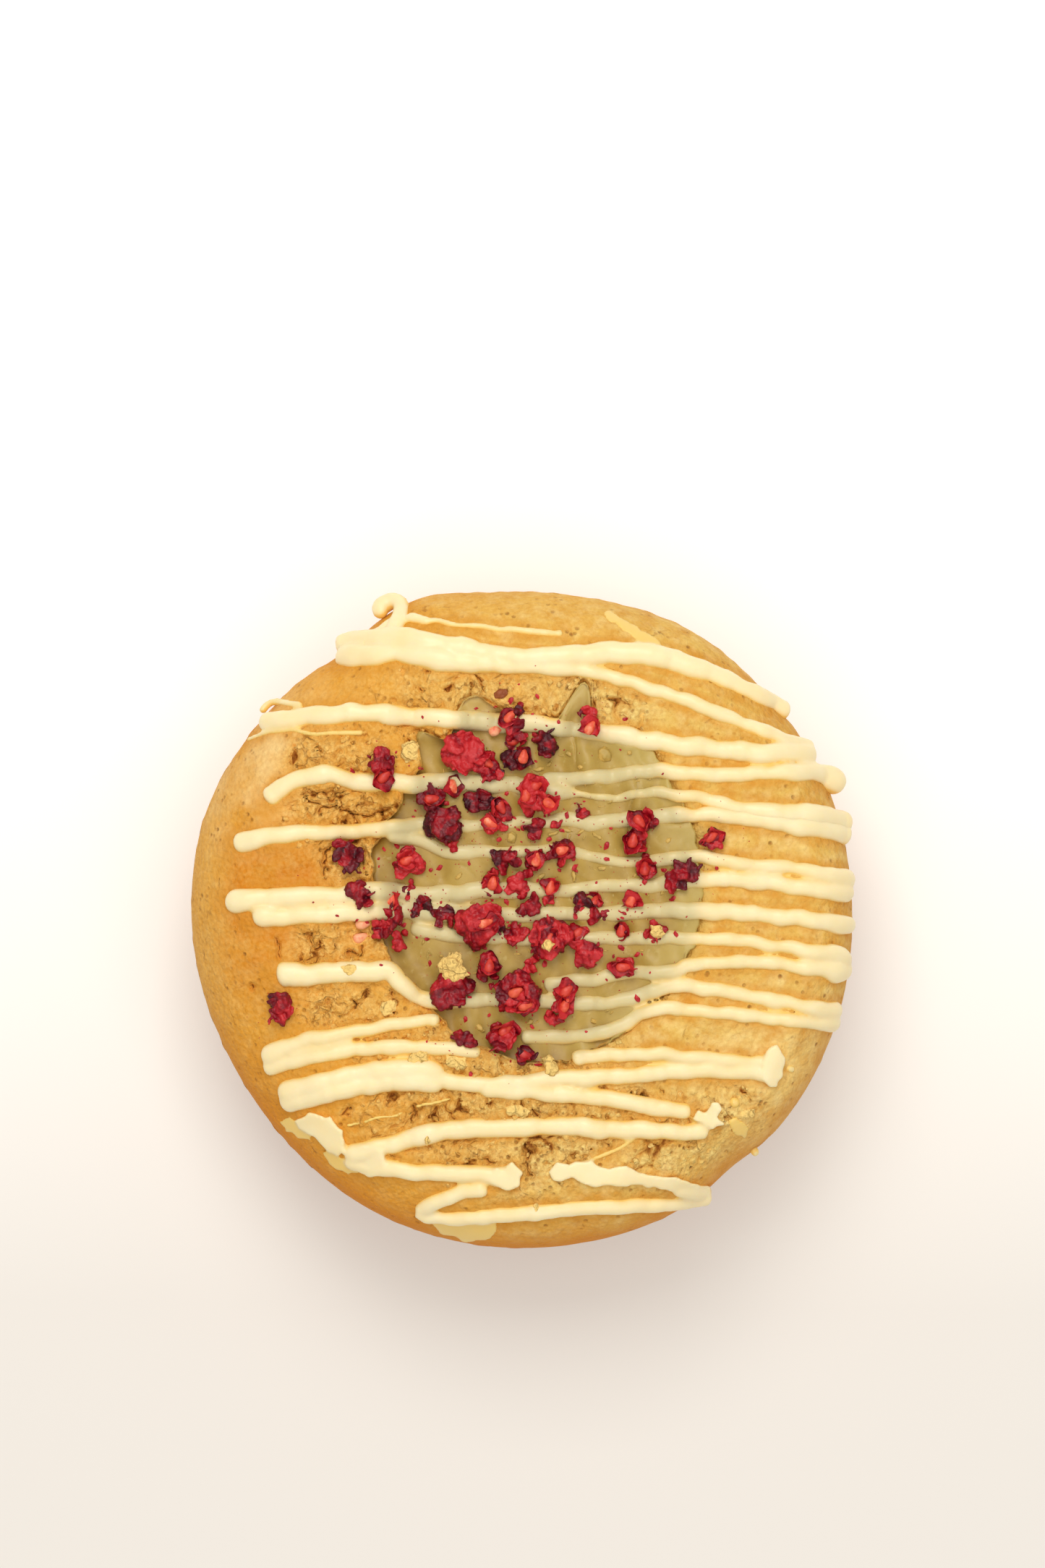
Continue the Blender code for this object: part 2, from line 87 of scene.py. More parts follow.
CRACKS = [                # from x, y to x, y, and the width
    (-27.3, 15.8, -25.9, 14.6, 0.9), (-25.9, 14.6, -25.7, 13.2, 1.2), (-28.3, 16.0, -22.6, 16.2, 0.8),
    (-25.9, 14.6, -23.4, 15.6, 1.0), (-23.4, 15.6, -20.6, 13.2, 1.0), (-24.9, 9.3, -25.0, 6.2, 1.3),
    (-25.8, -2.6, -25.9, -6.0, 1.0), (-30.6, -3.4, -30.6, -5.4, 1.0), (-22.8, -4.2, -19.8, -4.6, 1.0),
    (-20.6, 13.2, -16.8, 14.0, 1.2), (-24.8, 9.4, -25.6, 5.6, 0.9), (-19.9, 9.6, -19.8, 5.4, 1.0),
    (-31.0, -1.6, -30.8, -3.3, 0.9), (-26.7, -1.2, -26.1, -4.3, 0.7), (-20.8, -3.0, -19.6, -4.3, 1.2),
    (-21.7, -9.0, -21.3, -10.8, 0.8), (-16.5, -8.6, -15.8, -11.3, 1.1), (-34.1, -7.4, -33.7, -9.2, 0.7),
    (-29.2, 22.5, -28.8, 20.3, 1.0), (-26.2, 23.2, -25.6, 21.4, 0.8), (-15.2, 23.4, -14.5, 20.8, 1.2),
    (0.4, -27.9, 0.8, -30.4, 1.2), (0.8, -30.4, 1.2, -32.6, 1.0), (-13.5, -22.7, -13.9, -25.3, 1.5),
    (-10.6, -23.0, -11.3, -25.4, 0.9), (-8.1, -21.9, -7.4, -23.9, 0.9), (-4.8, -22.9, -3.4, -21.9, 1.2),
    (-0.5, -22.1, 0.0, -23.7, 0.9), (-6.3, -29.5, -7.5, -30.3, 1.0), (-5.3, -28.9, -3.3, -30.8, 0.8),
    (10.1, -27.1, 10.9, -27.9, 1.1), (8.5, -28.3, 9.2, -28.9, 0.9), (4.2, -26.7, 5.2, -27.4, 0.8),
    (14.2, -21.9, 15.4, -22.3, 0.8), (17.0, -21.0, 18.2, -21.4, 0.8), (-16.7, -29.0, -15.2, -29.8, 0.9),
    (-21.9, -23.5, -22.2, -24.7, 1.3), (-16.5, -21.9, -16.7, -23.6, 0.8), (1.6, -23.6, 2.2, -24.6, 1.1),
    (-13.7, 30.7, -12.4, 29.3, 1.0), (-9.6, 30.2, -8.9, 29.4, 0.8), (-5.6, 31.2, -5.0, 29.1, 0.9),
    (11.0, 29.0, 12.4, 28.2, 0.8), (28.4, -22.0, 27.4, -21.2, 1.2), (20.6, -28.2, 21.1, -28.7, 1.2),
]
CRUST_SWELLS = [(0.3, 7.0, 0.0), (0.4, 4.6, 12.0), (0.22, 2.2, 2.0)]     # height, pitch, which
LIP_SWELL = 0.7           # how uneven the crust is near the well
LIP_PITCH = 3.5
LIP_REACH = 6.0
PORE_PITCH = 1.5
PORE_RADIUS = 0.36
PORE_DEPTH = 0.3
PLATE_PITCH = 4.6         # the broad cracks part the crumb into plates
PLATE_STEP = 0.25         # how much the plates differ in level
PLATE_CRACK = 0.6
PLATE_CRACK_DEPTH = 0.8
PIT_PITCH = 1.2
PIT_DEPTH = 0.6
LUMP_PITCH = 2.1
LUMP_HEIGHT = 0.3
NUB_PITCH = 1.05
NUB_HEIGHT = 0.18
CRUMB_SINK = 0.3
CRACK_DEPTH = 1.1
WORN_EDGE = 0.9           # how far the crumb slopes down to the well's edge
RIM_ROUGH = 0.2
SECTORS = 680
WALL_ROWS = 12
TOP_ROWS = 62
SHOULDER_ROWS = 34
SHOULDER_START = 0.7      # as a share of the way from the well to the rim
SIDE_ROWS = 20
noise.seed_set(7)          # unseeded, the cracks and torn edges differ from run to run


def direction(angle):
    """The unit vector at an angle, seen from above."""
    return math.cos(math.radians(angle)), math.sin(math.radians(angle))


def bumps_at(angle, bumps):
    total = 0.0
    for middle, half_width, size in bumps:
        away = (angle - middle + 180) % 360 - 180
        total += size * math.exp(-((away / half_width) ** 2))
    return total


def rim_radius(angle):
    return RIM_RADIUS + bumps_at(angle, RIM_BUMPS)


def well_radius(angle):
    return WELL_RADIUS + bumps_at(angle, WELL_BUMPS)


def past_well(x, y):
    """How far a point lies outside the well's outline, negative over the cream."""
    away_x, away_y = x - WELL_CENTRE[0], y - WELL_CENTRE[1]
    return math.hypot(away_x, away_y) - well_radius(math.degrees(math.atan2(away_y, away_x)))


def smooth_step(value):
    value = min(max(value, 0.0), 1.0)
    return value * value * (3 - 2 * value)


def swell(x, y, pitch, level=0.0):
    """Soft relief from -1 to 1 whose swells are about one pitch apart."""
    return noise.noise(Vector((x / pitch, y / pitch, level)))


def billow(x, y, pitch, level):
    """Round lumps that meet in sharp valleys, from 0 to 1."""
    return min(3.4 * abs(swell(x, y, pitch, level)), 1.0) ** 0.6


def drift(x, y, pitch, level):
    """A soft push to the side, up to about 1, whose swells are about one pitch apart."""
    return noise.noise_vector(Vector((x, y, level)) / pitch)


def crust_height(x, y):
    """The crust's level without its crumb: a low crown, a round shoulder and the broken ledges."""
    angle = math.degrees(math.atan2(y, x))
    reach, rim = math.hypot(x, y), rim_radius(angle)
    height = CROWN_HEIGHT - CROWN_FALL * (reach / rim) ** 2
    shoulder = SHOULDER_WIDTH - SHOULDER_EXTRA * direction(angle)[0]
    turned = min(max(1 - (rim - reach) / shoulder, 0.0), 1.0)
    height -= SHOULDER_DROP * (1 - math.sqrt(1 - turned ** 2))
    height += sum(size * swell(x, y, pitch, which) for size, pitch, which in CRUST_SWELLS)
    height += LIP_SWELL * swell(x, y, LIP_PITCH) * (1 - smooth_step(past_well(x, y) / LIP_REACH))
    for dent_x, dent_y, spread, depth in CRUST_DENTS:
        height -= depth * math.exp(-((x - dent_x) ** 2 + (y - dent_y) ** 2) / spread ** 2)
    return height


def crumbly(x, y):
    """How broken the crust is, from 0 where it baked smooth to 1 where it is all crumbs."""
    total = sum(
        share * math.exp(-((x - spot_x) ** 2 + (y - spot_y) ** 2) / spread ** 2)
        for spot_x, spot_y, spread, share in CRUMBLY_SPOTS
    )
    edge = 0.6 * (1 - smooth_step(past_well(x, y) / 3))
    return smooth_step(total + edge - 0.25 + 0.35 * swell(x, y, 2.6, 3.0))


def crack(x, y, pitch, width, level):
    """How far a point lies in a crack between crumbs: 1 in its middle, 0 beside it."""
    place = Vector((x, y, level * pitch)) / pitch
    place += 0.22 * noise.noise_vector(place * 2.3)
    distances, middles = noise.voronoi(place)
    return max(0.0, 1 - (distances[1] - distances[0]) * pitch / width), middles[0]


def named_crack(x, y):
    """How deep a place lies in one of the long cracks: 1 in its middle, 0 beside it."""
    deepest = 0.0
    bend = drift(x, y, 2.2, 30) + 0.5 * drift(x, y, 0.9, 32)
    x, y = x + bend.x, y + bend.y
    for start_x, start_y, end_x, end_y, width in CRACKS:
        if abs(2 * x - start_x - end_x) + abs(2 * y - start_y - end_y) > 18:
            continue
        run_x, run_y = end_x - start_x, end_y - start_y
        share = ((x - start_x) * run_x + (y - start_y) * run_y) / (run_x ** 2 + run_y ** 2)
        share = min(max(share, 0.0), 1.0)
        away = math.hypot(x - start_x - share * run_x, y - start_y - share * run_y)
        half_width = 0.29 * width * (1.1 - (2 * share - 1) ** 4)
        deepest = max(deepest, 1.2 - away / half_width)
    return min(deepest, 1.0)


def crumb_relief(x, y):
    """The crumb's rise over the smooth crust, and how hollow the place is, from 0 to 1."""
    broken = crumbly(x, y)
    rise = 0.12 * swell(x, y, 0.8, 1.0)
    distance = noise.voronoi(Vector((x, y, 4.0)) / PORE_PITCH)[0][0] * PORE_PITCH
    pore = max(0.0, 1 - distance / PORE_RADIUS) * smooth_step(0.5 + 1.6 * swell(x, y, 4.0, 5.0))
    hollow = 0.45 * pore
    rise -= PORE_DEPTH * pore
    if broken > 0.01:
        wide, plate = crack(x, y, PLATE_PITCH, PLATE_CRACK, 0.7)
        wide *= smooth_step(0.35 + 1.9 * swell(x, y, 6.0, 7.0))
        pit = smooth_step((swell(x, y, PIT_PITCH, 11.0) - 0.36) * 5)
        bend = 0.7 * swell(x, y, 2.4, 14.0)
        lump = billow(x + bend, y, LUMP_PITCH, 6.0)
        nub = billow(x, y + bend, NUB_PITCH, 9.0)
        step = PLATE_STEP * (noise.cell(plate * 5.3) - 0.5)
        rise += broken * (LUMP_HEIGHT * lump + NUB_HEIGHT * nub - CRUMB_SINK + step)
        rise -= broken * (PLATE_CRACK_DEPTH * wide + PIT_DEPTH * pit)
        between = 0.3 * (1 - lump) + 0.2 * (1 - nub)
        hollow = max(hollow, min(broken * (1.1 * wide + 0.65 * pit + between), 1.0))
    torn = named_crack(x, y)
    edge = 1 - smooth_step(past_well(x, y) / (1.3 + 0.9 * swell(x, y, 3.0, 17.0)))
    return rise - WORN_EDGE * edge * edge - CRACK_DEPTH * torn, max(hollow, 0.3 * edge, torn)


def draw_line(corners):
    """Extrudes a point from corner to corner and leaves the line selected in edit mode."""
    bpy.ops.object.select_all(action="DESELECT")
    bpy.ops.mesh.primitive_plane_add(size=MM)
    bpy.ops.object.mode_set(mode="EDIT")
    bpy.ops.mesh.merge(type="CENTER")
    bpy.ops.transform.translate(value=corners[0])
    for start, end in zip(corners, corners[1:]):
        bpy.ops.mesh.extrude_region_move(TRANSFORM_OT_translate={"value": end - start})
    bpy.ops.mesh.select_all(action="SELECT")
    return bpy.context.object


def turn_on_axis(name, outline, sectors, centre):
    """Draws half a section as a line, from axis to axis, and spins it into a solid."""
    turned = draw_line([Vector((centre[0] + out, centre[1], level)) * MM for out, level in outline])
    turned.name = name
    foot = (centre[0] * MM, centre[1] * MM, 0)
    bpy.ops.mesh.spin(steps=sectors, angle=math.tau, center=foot, axis=(0, 0, 1))
    bpy.ops.mesh.select_all(action="SELECT")
    bpy.ops.mesh.remove_doubles(threshold=0.02 * MM)
    bpy.ops.mesh.normals_make_consistent(inside=False)
    bpy.ops.object.mode_set(mode="OBJECT")
    return turned


def store(piece, name, values):
    """Stores a number at each point of a piece, for its material to read."""
    piece.data.attributes.new(name, "FLOAT", "POINT").data.foreach_set("value", values)


def steps(start, end, count):
    return [start + (end - start) * i / count for i in range(1, count + 1)]


def round_well(angle, radius):
    along_x, along_y = direction(angle)
    return WELL_CENTRE[0] + radius * along_x, WELL_CENTRE[1] + radius * along_y


def ragged_well(angle):
    """The well's edge with the teeth that the torn crumb leaves."""
    x, y = round_well(angle, WELL_RADIUS)
    return well_radius(angle) + 0.5 * swell(x, y, 1.6, 20.0) + 0.25 * swell(x, y, 0.8, 21.0)


def rough_rim(x, y):
    return RIM_ROUGH * swell(x, y, 1.7, 22.0)


def shaped_crust_point(x, y, level):
    """Where a point of the turned blank goes on the real cookie, and how hollow it is there."""
    angle = math.degrees(math.atan2(y, x))
    along_x, along_y = direction(angle)
    reach, rim = math.hypot(x, y), rim_radius(angle)
    if reach < WELL_RADIUS + 0.01 and level > WELL_FLOOR - 0.01:
        share = reach / WELL_RADIUS
        well_x, well_y = round_well(angle, ragged_well(angle) * share)
        top = crust_height(well_x, well_y)
        up = (level - WELL_FLOOR) / (CROWN_HEIGHT - WELL_FLOOR)
        bite = 0.45 * swell(well_x + level, well_y - level, 1.6, 2.0) * share * up * (1 - up) * 4
        return well_x + bite * along_x, well_y + bite * along_y, WELL_FLOOR + (top - WELL_FLOOR) * up, 0.4
    if level > CROWN_HEIGHT - 0.01:
        share = (reach - WELL_RADIUS) / (RIM_RADIUS - WELL_RADIUS)
        well_x, well_y = round_well(angle, ragged_well(angle))
        new_x = well_x * (1 - share) + rim * along_x * share
        new_y = well_y * (1 - share) + rim * along_y * share
        ragged = rough_rim(new_x, new_y) * share ** 4
        new_x, new_y = new_x + ragged * along_x, new_y + ragged * along_y
        rise, hollow = crumb_relief(new_x, new_y)
        fade = smooth_step((rim - math.hypot(new_x, new_y)) / 1.5)
        return new_x, new_y, crust_height(new_x, new_y) + rise * fade, hollow
    share = level / CROWN_HEIGHT
    base = BASE_SHARE * (RIM_RADIUS + BASE_BUMPS * bumps_at(angle, RIM_BUMPS))
    radius = (base * (1 - share) + rim * share) * reach / RIM_RADIUS
    bumpy = Vector((RIM_RADIUS * along_x, RIM_RADIUS * along_y, level))
    radius += 0.3 * noise.noise(bumpy / 7) * smooth_step(level / 3)
    radius += rough_rim(rim * along_x, rim * along_y) * share ** 6
    radius += 0.25 * noise.noise(bumpy / 1.6) * smooth_step(level / 3) * (1 - share ** 6)
    top = crust_height(rim * along_x, rim * along_y)
    return radius * along_x, radius * along_y, top * share, 0.0


flat_top = steps(WELL_RADIUS, WELL_RADIUS + (RIM_RADIUS - WELL_RADIUS) * SHOULDER_START, TOP_ROWS)
turned_top = [
    RIM_RADIUS - (RIM_RADIUS - flat_top[-1]) * (1 - math.sin(math.radians(90 * k / SHOULDER_ROWS)))
    for k in range(1, SHOULDER_ROWS + 1)
]
crust_outline = [(0, WELL_FLOOR)]
crust_outline += [(out, WELL_FLOOR) for out in steps(0, WELL_RADIUS, 4)]
crust_outline += [(WELL_RADIUS, level) for level in steps(WELL_FLOOR, CROWN_HEIGHT, WALL_ROWS)]
crust_outline += [(out, CROWN_HEIGHT) for out in flat_top + turned_top]
crust_outline += [(RIM_RADIUS, level) for level in steps(CROWN_HEIGHT, BASE_CORNER, SIDE_ROWS)]
crust_outline += [
    (RIM_RADIUS - BASE_CORNER * (1 - direction(turn)[0]), BASE_CORNER * (1 - direction(turn)[1]))
    for turn in (18, 36, 54, 72, 90)
]
crust_outline += [(out, 0) for out in steps(RIM_RADIUS - BASE_CORNER, 0, 4)]
cookie = turn_on_axis("cookie_crust", crust_outline, SECTORS, (0, 0))
shaped = [shaped_crust_point(*(corner.co / MM)) for corner in cookie.data.vertices]
for corner, (x, y, level, _) in zip(cookie.data.vertices, shaped):
    corner.co = Vector((x, y, level)) * MM
store(cookie, "hollow", [hollow for *_, hollow in shaped])
store(cookie, "crumb", [crumbly(x, y) for x, y, *_ in shaped])
bpy.ops.object.shade_smooth()


class Wire:
    """One output of a shader node. Sums of wires and numbers add the Math nodes that they need."""

    def __init__(self, tree, socket=None):
        self.tree = tree
        self.socket = socket

    def node(self, kind, settings=(), inputs=(), output=0):
        """Adds a node, sets it up, then gives its sockets their values or links."""
        made = self.tree.nodes.new("ShaderNode" + kind)
        for name, value in dict(settings).items():
            if name == "stops":
                made.color_ramp.elements[0].position, made.color_ramp.elements[0].color = value[0]
                made.color_ramp.elements[1].position, made.color_ramp.elements[1].color = value[-1]
                for position, colour in value[1:-1]:
                    made.color_ramp.elements.new(position).color = colour
            else:
                setattr(made, name, value)
        for name, value in dict(inputs).items():
            if isinstance(value, Wire):
                self.tree.links.new(value.socket, made.inputs[name])
            else:
                made.inputs[name].default_value = value
        return Wire(self.tree, made.outputs[output])

    def math(self, operation, *values, clamp=False):
        settings = {"operation": operation, "use_clamp": clamp}
        return self.node("Math", settings, dict(enumerate(values)))

    def __add__(self, other):
        return self.math("ADD", self, other)

    def __sub__(self, other):
        return self.math("SUBTRACT", self, other)

    def __rsub__(self, other):
        return self.math("SUBTRACT", other, self)

    def __mul__(self, other):
        return self.math("MULTIPLY", self, other)

    def __truediv__(self, other):
        return self.math("DIVIDE", self, other)

    __radd__ = __add__
    __rmul__ = __mul__

    def clamped(self):
        return self.math("ADD", self, 0, clamp=True)

    def place(self):
        """A point's place in the object, in metres."""
        return self.node("TexCoord", output="Object")

    def axis(self, name):
        """A point's place along one axis of the object, in metres."""
        return self.node("SeparateXYZ", (), {"Vector": self.place()}, output=name)

    def stored(self, name):
        """The number that the mesh stores at each point under a name."""
        return self.node("Attribute", {"attribute_name": name}, output="Fac")

    def grain(self, pitch, detail=2.0, shift=0.0):
        """Noise from 0 to 1, most of it near 0.5, whose swells are about one pitch apart."""
        inputs = {"Vector": self.place(), "W": shift, "Scale": 1 / (pitch * MM), "Detail": detail}
        return self.node("TexNoise", {"noise_dimensions": "4D"}, inputs)

    def spots(self, pitch, detail, shift, contrast, base=0.5):
        """Noise with its contrast raised to spots from 0 to 1, and the base as its usual value."""
        return ((self.grain(pitch, detail, shift) - 0.5) * contrast + base).clamped()

    def cells(self, pitch):
        """The distance to the nearest of points that lie about one pitch apart, 0 to about 1."""
        return self.node("TexVoronoi", (), {"Vector": self.place(), "Scale": 1 / (pitch * MM)})

    def away(self, x, y):
        """The distance in metres from a place on the crust that is given in millimetres."""
        ends = {0: self.place(), 1: (x * MM, y * MM, 30 * MM)}
        return self.node("VectorMath", {"operation": "DISTANCE"}, ends, output="Value")

    def near(self, x, y, reach):
        """1 at a place on the crust, falling to 0 at the reach from it."""
        return (1 - self.away(x, y) / (reach * MM)).clamped()

    def mixed(self, share, first, second):
        """The first colour at share 0, the second at share 1."""
        settings = {"data_type": "RGBA", "clamp_factor": True}
        return self.node("Mix", settings, {0: share, 6: first, 7: second}, output=2)

    def coated(self, share, colour):
        """This colour with another over it, which covers it where the share is 1."""
        return self.mixed(share, self, colour)

    def bump(self, height, strength, depth):
        """A surface normal from a height pattern whose whole range is that many millimetres."""
        return self.node("Bump", (), {"Height": height, "Strength": strength, "Distance": depth * MM})


def paint(red, green, blue):
    """A colour as a screen shows it, 0 to 255, made linear for a shader."""
    shares = [value / 255 for value in (red, green, blue)]
    return (*[s / 12.92 if s < 0.04 else ((s + 0.055) / 1.055) ** 2.4 for s in shares], 1)


def new_material(name, **constants):
    """A material with its Principled shader's fixed values, and the start of its wires."""
    material = bpy.data.materials.new(name)
    material.use_nodes = True
    shader = material.node_tree.nodes["Principled BSDF"]
    for socket, value in constants.items():
        shader.inputs[socket.replace("_", " ")].default_value = value
    return material, Wire(material.node_tree), shader


def connect(shader, **wires):
    for socket, wire in wires.items():
        wire.tree.links.new(wire.socket, shader.inputs[socket.replace("_", " ")])


def give(piece, material):
    piece.data.materials.clear()
    piece.data.materials.append(material)


crust_material, wire, shader = new_material("golden_crust", Roughness=0.7, Specular_IOR_Level=0.15)
across, along, level = [wire.axis(name) for name in "XYZ"]
crumb = wire.stored("crumb")
hollow = wire.stored("hollow")

# More orange on the left, paler to the right and on a patch of the upper left shoulder, palest in the torn
# crumb. The pale patch on the lower right shoulder is painted light.
to_right = ((across + 20 * MM) / (30 * MM) + (wire.grain(9) - 0.5) * 1.2).clamped()
baked = wire.mixed(to_right, paint(228, 160, 54), paint(232, 190, 96))
patches = wire.spots(5, 3, 12.0, 3)
baked = baked.coated((wire.near(-30, 2, 16) * (patches + 0.5) * 1.3).clamped(), paint(212, 122, 14))
baked = baked.coated(((-36 * MM - across) / (4 * MM)).clamped() * 0.7, paint(232, 178, 84))
baked = baked.coated((wire.near(-36, 22, 15) * 2).clamped() * patches, paint(246, 206, 136))
# Painted light: the lower right shoulder turns away from the key light, and this lightens its shade.
baked = baked.coated((wire.near(34, -20, 15) * 1.8).clamped() * 0.6, paint(246, 208, 128))
baked = baked.coated(crumb * 0.8, wire.mixed(to_right, paint(250, 190, 92), paint(255, 228, 140)))

# Mottled, with pale spots, and a fine speckle of painted light and shade: pale lit grain tops and darker
# shaded gaps between them.
mottle = wire.spots(2.6, 4, 2.0, 4, 0.4)
baked = baked.coated(mottle * (to_right * 0.4 + 0.3 - crumb * 0.3), paint(212, 148, 54))
pale = wire.spots(1.7, 5, 5.0, 4, 0.16)
baked = baked.coated(pale * (to_right * 0.42 + 0.15), paint(252, 224, 150))
grain_light_and_shade = wire.mixed(wire.spots(0.5, 3, 3.0, 5), paint(196, 122, 36), paint(252, 216, 134))
baked = baked.coated((crumb * 0.22 + 0.12).clamped(), grain_light_and_shade)

# Painted shade: deeper orange beside the strings, where they shade the crust, and darker in the cracks and
# hollows, where shade falls.
beside = wire.stored("beside") * (wire.grain(2, 2, 11.0) * 1.6 - 0.35).clamped()
baked = baked.coated(beside, paint(214, 144, 44))
baked = baked.coated(((hollow - 0.15) * 0.8).clamped(), paint(226, 164, 64))
baked = baked.coated(((hollow - 0.6) * 2.5).clamped(), paint(168, 100, 34))
baked = baked.coated(((hollow - 0.85) * 6).clamped() * 0.8, paint(116, 60, 16))

# Pores, the valleys between the grains, and hairline cracks, darkened as painted shade and also cut into
# the bump.
pored = ((wire.grain(2.5, 2, 9.0) - 0.49 + crumb * 0.1) * 6).clamped()
pores = (1.2 - wire.cells(1.05) * 4).clamped() * pored
baked = baked.coated(pores * 0.75, paint(174, 98, 30))
sandy = wire.cells(0.7)
valleys = ((sandy - 0.38) * 3).clamped()
baked = baked.coated(valleys * (crumb * 0.2 + 0.12), paint(206, 142, 54))
waves = {"Vector": wire.place(), "Scale": 1 / (1.6 * MM), "Detail": 3}
warp = wire.node("TexNoise", (), waves, output="Color")
shift = wire.node("VectorMath", {"operation": "SCALE"}, {0: warp, "Scale": 1.5 * MM}, output="Vector")
warped = wire.node("VectorMath", {"operation": "ADD"}, {0: wire.place(), 1: shift}, output="Vector")
plates = {"Vector": warped, "Scale": 1 / (2.9 * MM)}
from_edge = wire.node("TexVoronoi", {"feature": "DISTANCE_TO_EDGE"}, plates)
where = ((wire.grain(3.5, 2, 6.0) - 0.62 + crumb * 0.16) * 7).clamped()
cracked = (1 - from_edge * 18).clamped() * where
baked = baked.coated(cracked * 0.4, paint(178, 106, 40))

# Loose clusters are paler, the front and the side browner, and some cream is smeared on the right.
baked = baked.coated(((crumb - 1) * 2).clamped() * 0.9, paint(255, 216, 130))
to_front = ((-6 * MM - along) / (20 * MM)).clamped()
to_front = to_front * (1 - ((across - 8 * MM) / (30 * MM)).clamped() * 0.6)
low = ((30 * MM - level) / (4.5 * MM)).clamped() * (to_front * 0.9 + 0.1)
baked = baked.coated(low * (wire.grain(4, 3, 8.0) * 0.5 + 0.6), paint(220, 136, 34))
round_edge = (1 - wire.math("ABSOLUTE", wire.away(*WELL_CENTRE) - 20.8 * MM) / (2.2 * MM)).clamped()
baked = baked.coated(round_edge * (across / (16 * MM)).clamped() * 0.7, paint(206, 170, 88))
browned = ((24 * MM - level) / (20 * MM)).clamped()
baked = baked.coated(browned * (wire.grain(6, 3, 8.0) * 0.6 + 0.6), paint(190, 112, 44))
grain = (wire.grain(0.3, 3, 1.0) * 1.2 - sandy * 1.2) * (crumb.clamped() * 0.4 + 0.4)
grain = grain - pores - cracked * 0.6
connect(shader, Base_Color=baked, Normal=wire.bump(grain, 1.0, 0.3))
give(cookie, crust_material)
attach(cookie, "root")
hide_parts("cookie")


# The pistachio cream. A soft green nut cream, spread in the well and sunk a little below the crust
# on the left, with folds where the spoon left it.

CREAM_GAP = 0.4
CREAM_RECESS = 2.1
CREAM_RECESS_TILT = 1.2
CREAM_DOME = 0.9
CREAM_FOLD = 0.35
CREAM_FOLD_PITCH = 6.5
CREAM_FOLD_SLANT = 0.35
CREAM_EDGE = 0.8
CREAM_CLIMB = 0.8         # how far the cream climbs the crumb at its edge
CREAM_LOBE_RISE = 1.0     # the lobes that run up between the crumbs at the well's upper edge
CREAM_SECTORS = 360
CREAM_ROWS = 90
SUNK_SIDE = 163           # the angle at which the cream's edge sinks away from the crumb
SUNK_HALF_WIDTH = 20


def cream_height(x, y):
    """The cream's level: a low dome with soft folds, deepest below the crust on the left."""
    across = (x - WELL_CENTRE[0]) / WELL_RADIUS
    out = math.hypot(x - WELL_CENTRE[0], y - WELL_CENTRE[1]) / WELL_RADIUS
    height = CROWN_HEIGHT - CREAM_RECESS + CREAM_RECESS_TILT * across
    height += CREAM_DOME * (1 - out ** 2) + CREAM_LOBE_RISE * smooth_step((out - 1) / 0.25)
    bend = 2.2 * swell(x, y, 7.0, 12.0)
    turns = (x + bend + CREAM_FOLD_SLANT * y) / CREAM_FOLD_PITCH
    height += CREAM_FOLD * math.sin(turns * math.tau)
    lumpy, warp = smooth_step((x + 2.2 * y - 22) / 30), 1.2 * swell(x, y, 5.0, 8.0)
    height += (0.3 + 0.5 * lumpy) * swell(x + warp, y - warp, 3.2, 2.0)
    height += (0.04 + 0.1 * lumpy + 0.4 * smooth_step((y - 24) / 3)) * swell(x, y, 1.3, 3.0)
    fold = max(0.0, 1 - abs(swell(x + warp, y, 6.5, 5.0)) / 0.07) ** 2
    return height - (0.15 + 0.3 * lumpy) * fold * smooth_step(0.4 + 2 * swell(x, y, 5.0, 9.0))


def shaped_cream_point(x, y, level):
    """Where a point of the turned blank goes: the well's outline, the folds and a rounded edge."""
    away_x, away_y = x - WELL_CENTRE[0], y - WELL_CENTRE[1]
    share = math.hypot(away_x, away_y) / WELL_RADIUS
    angle = math.degrees(math.atan2(away_y, away_x))
    sunk = bumps_at(angle, [(SUNK_SIDE, SUNK_HALF_WIDTH, 1.0)])
    edge = ragged_well(angle) + 0.3 - sunk * (0.2 + 0.3 * swell(x, y, 3.0, 1.0))
    new_x, new_y = round_well(angle, edge * share)
    if level < CROWN_HEIGHT - 0.01:
        return new_x, new_y, level
    height = cream_height(new_x, new_y) + CREAM_CLIMB * share ** 8 * (1 - sunk)
    turned = min(max(0.0, 1 - edge * (1 - share) / CREAM_EDGE), 1.0)
    drop = CREAM_EDGE * (0.1 + 0.6 * sunk)
    height = min(height, crust_height(new_x, new_y) + 0.15)
    return new_x, new_y, height - drop * (1 - math.sqrt(1 - turned ** 2))


cream_foot = WELL_FLOOR + CREAM_GAP
cream_outline = [(0, cream_foot)]
cream_outline += [(out, cream_foot) for out in steps(0, WELL_RADIUS, 3)]
cream_outline += [(WELL_RADIUS, level) for level in steps(cream_foot, CROWN_HEIGHT - 3, 3)]
cream_outline += [(WELL_RADIUS, CROWN_HEIGHT)]
cream_outline += [(out, CROWN_HEIGHT) for out in steps(WELL_RADIUS, 0, CREAM_ROWS)]
cream = turn_on_axis("pistachio_cream", cream_outline, CREAM_SECTORS, WELL_CENTRE)
for corner in cream.data.vertices:
    corner.co = Vector(shaped_cream_point(*(corner.co / MM))) * MM
bpy.ops.object.shade_smooth()

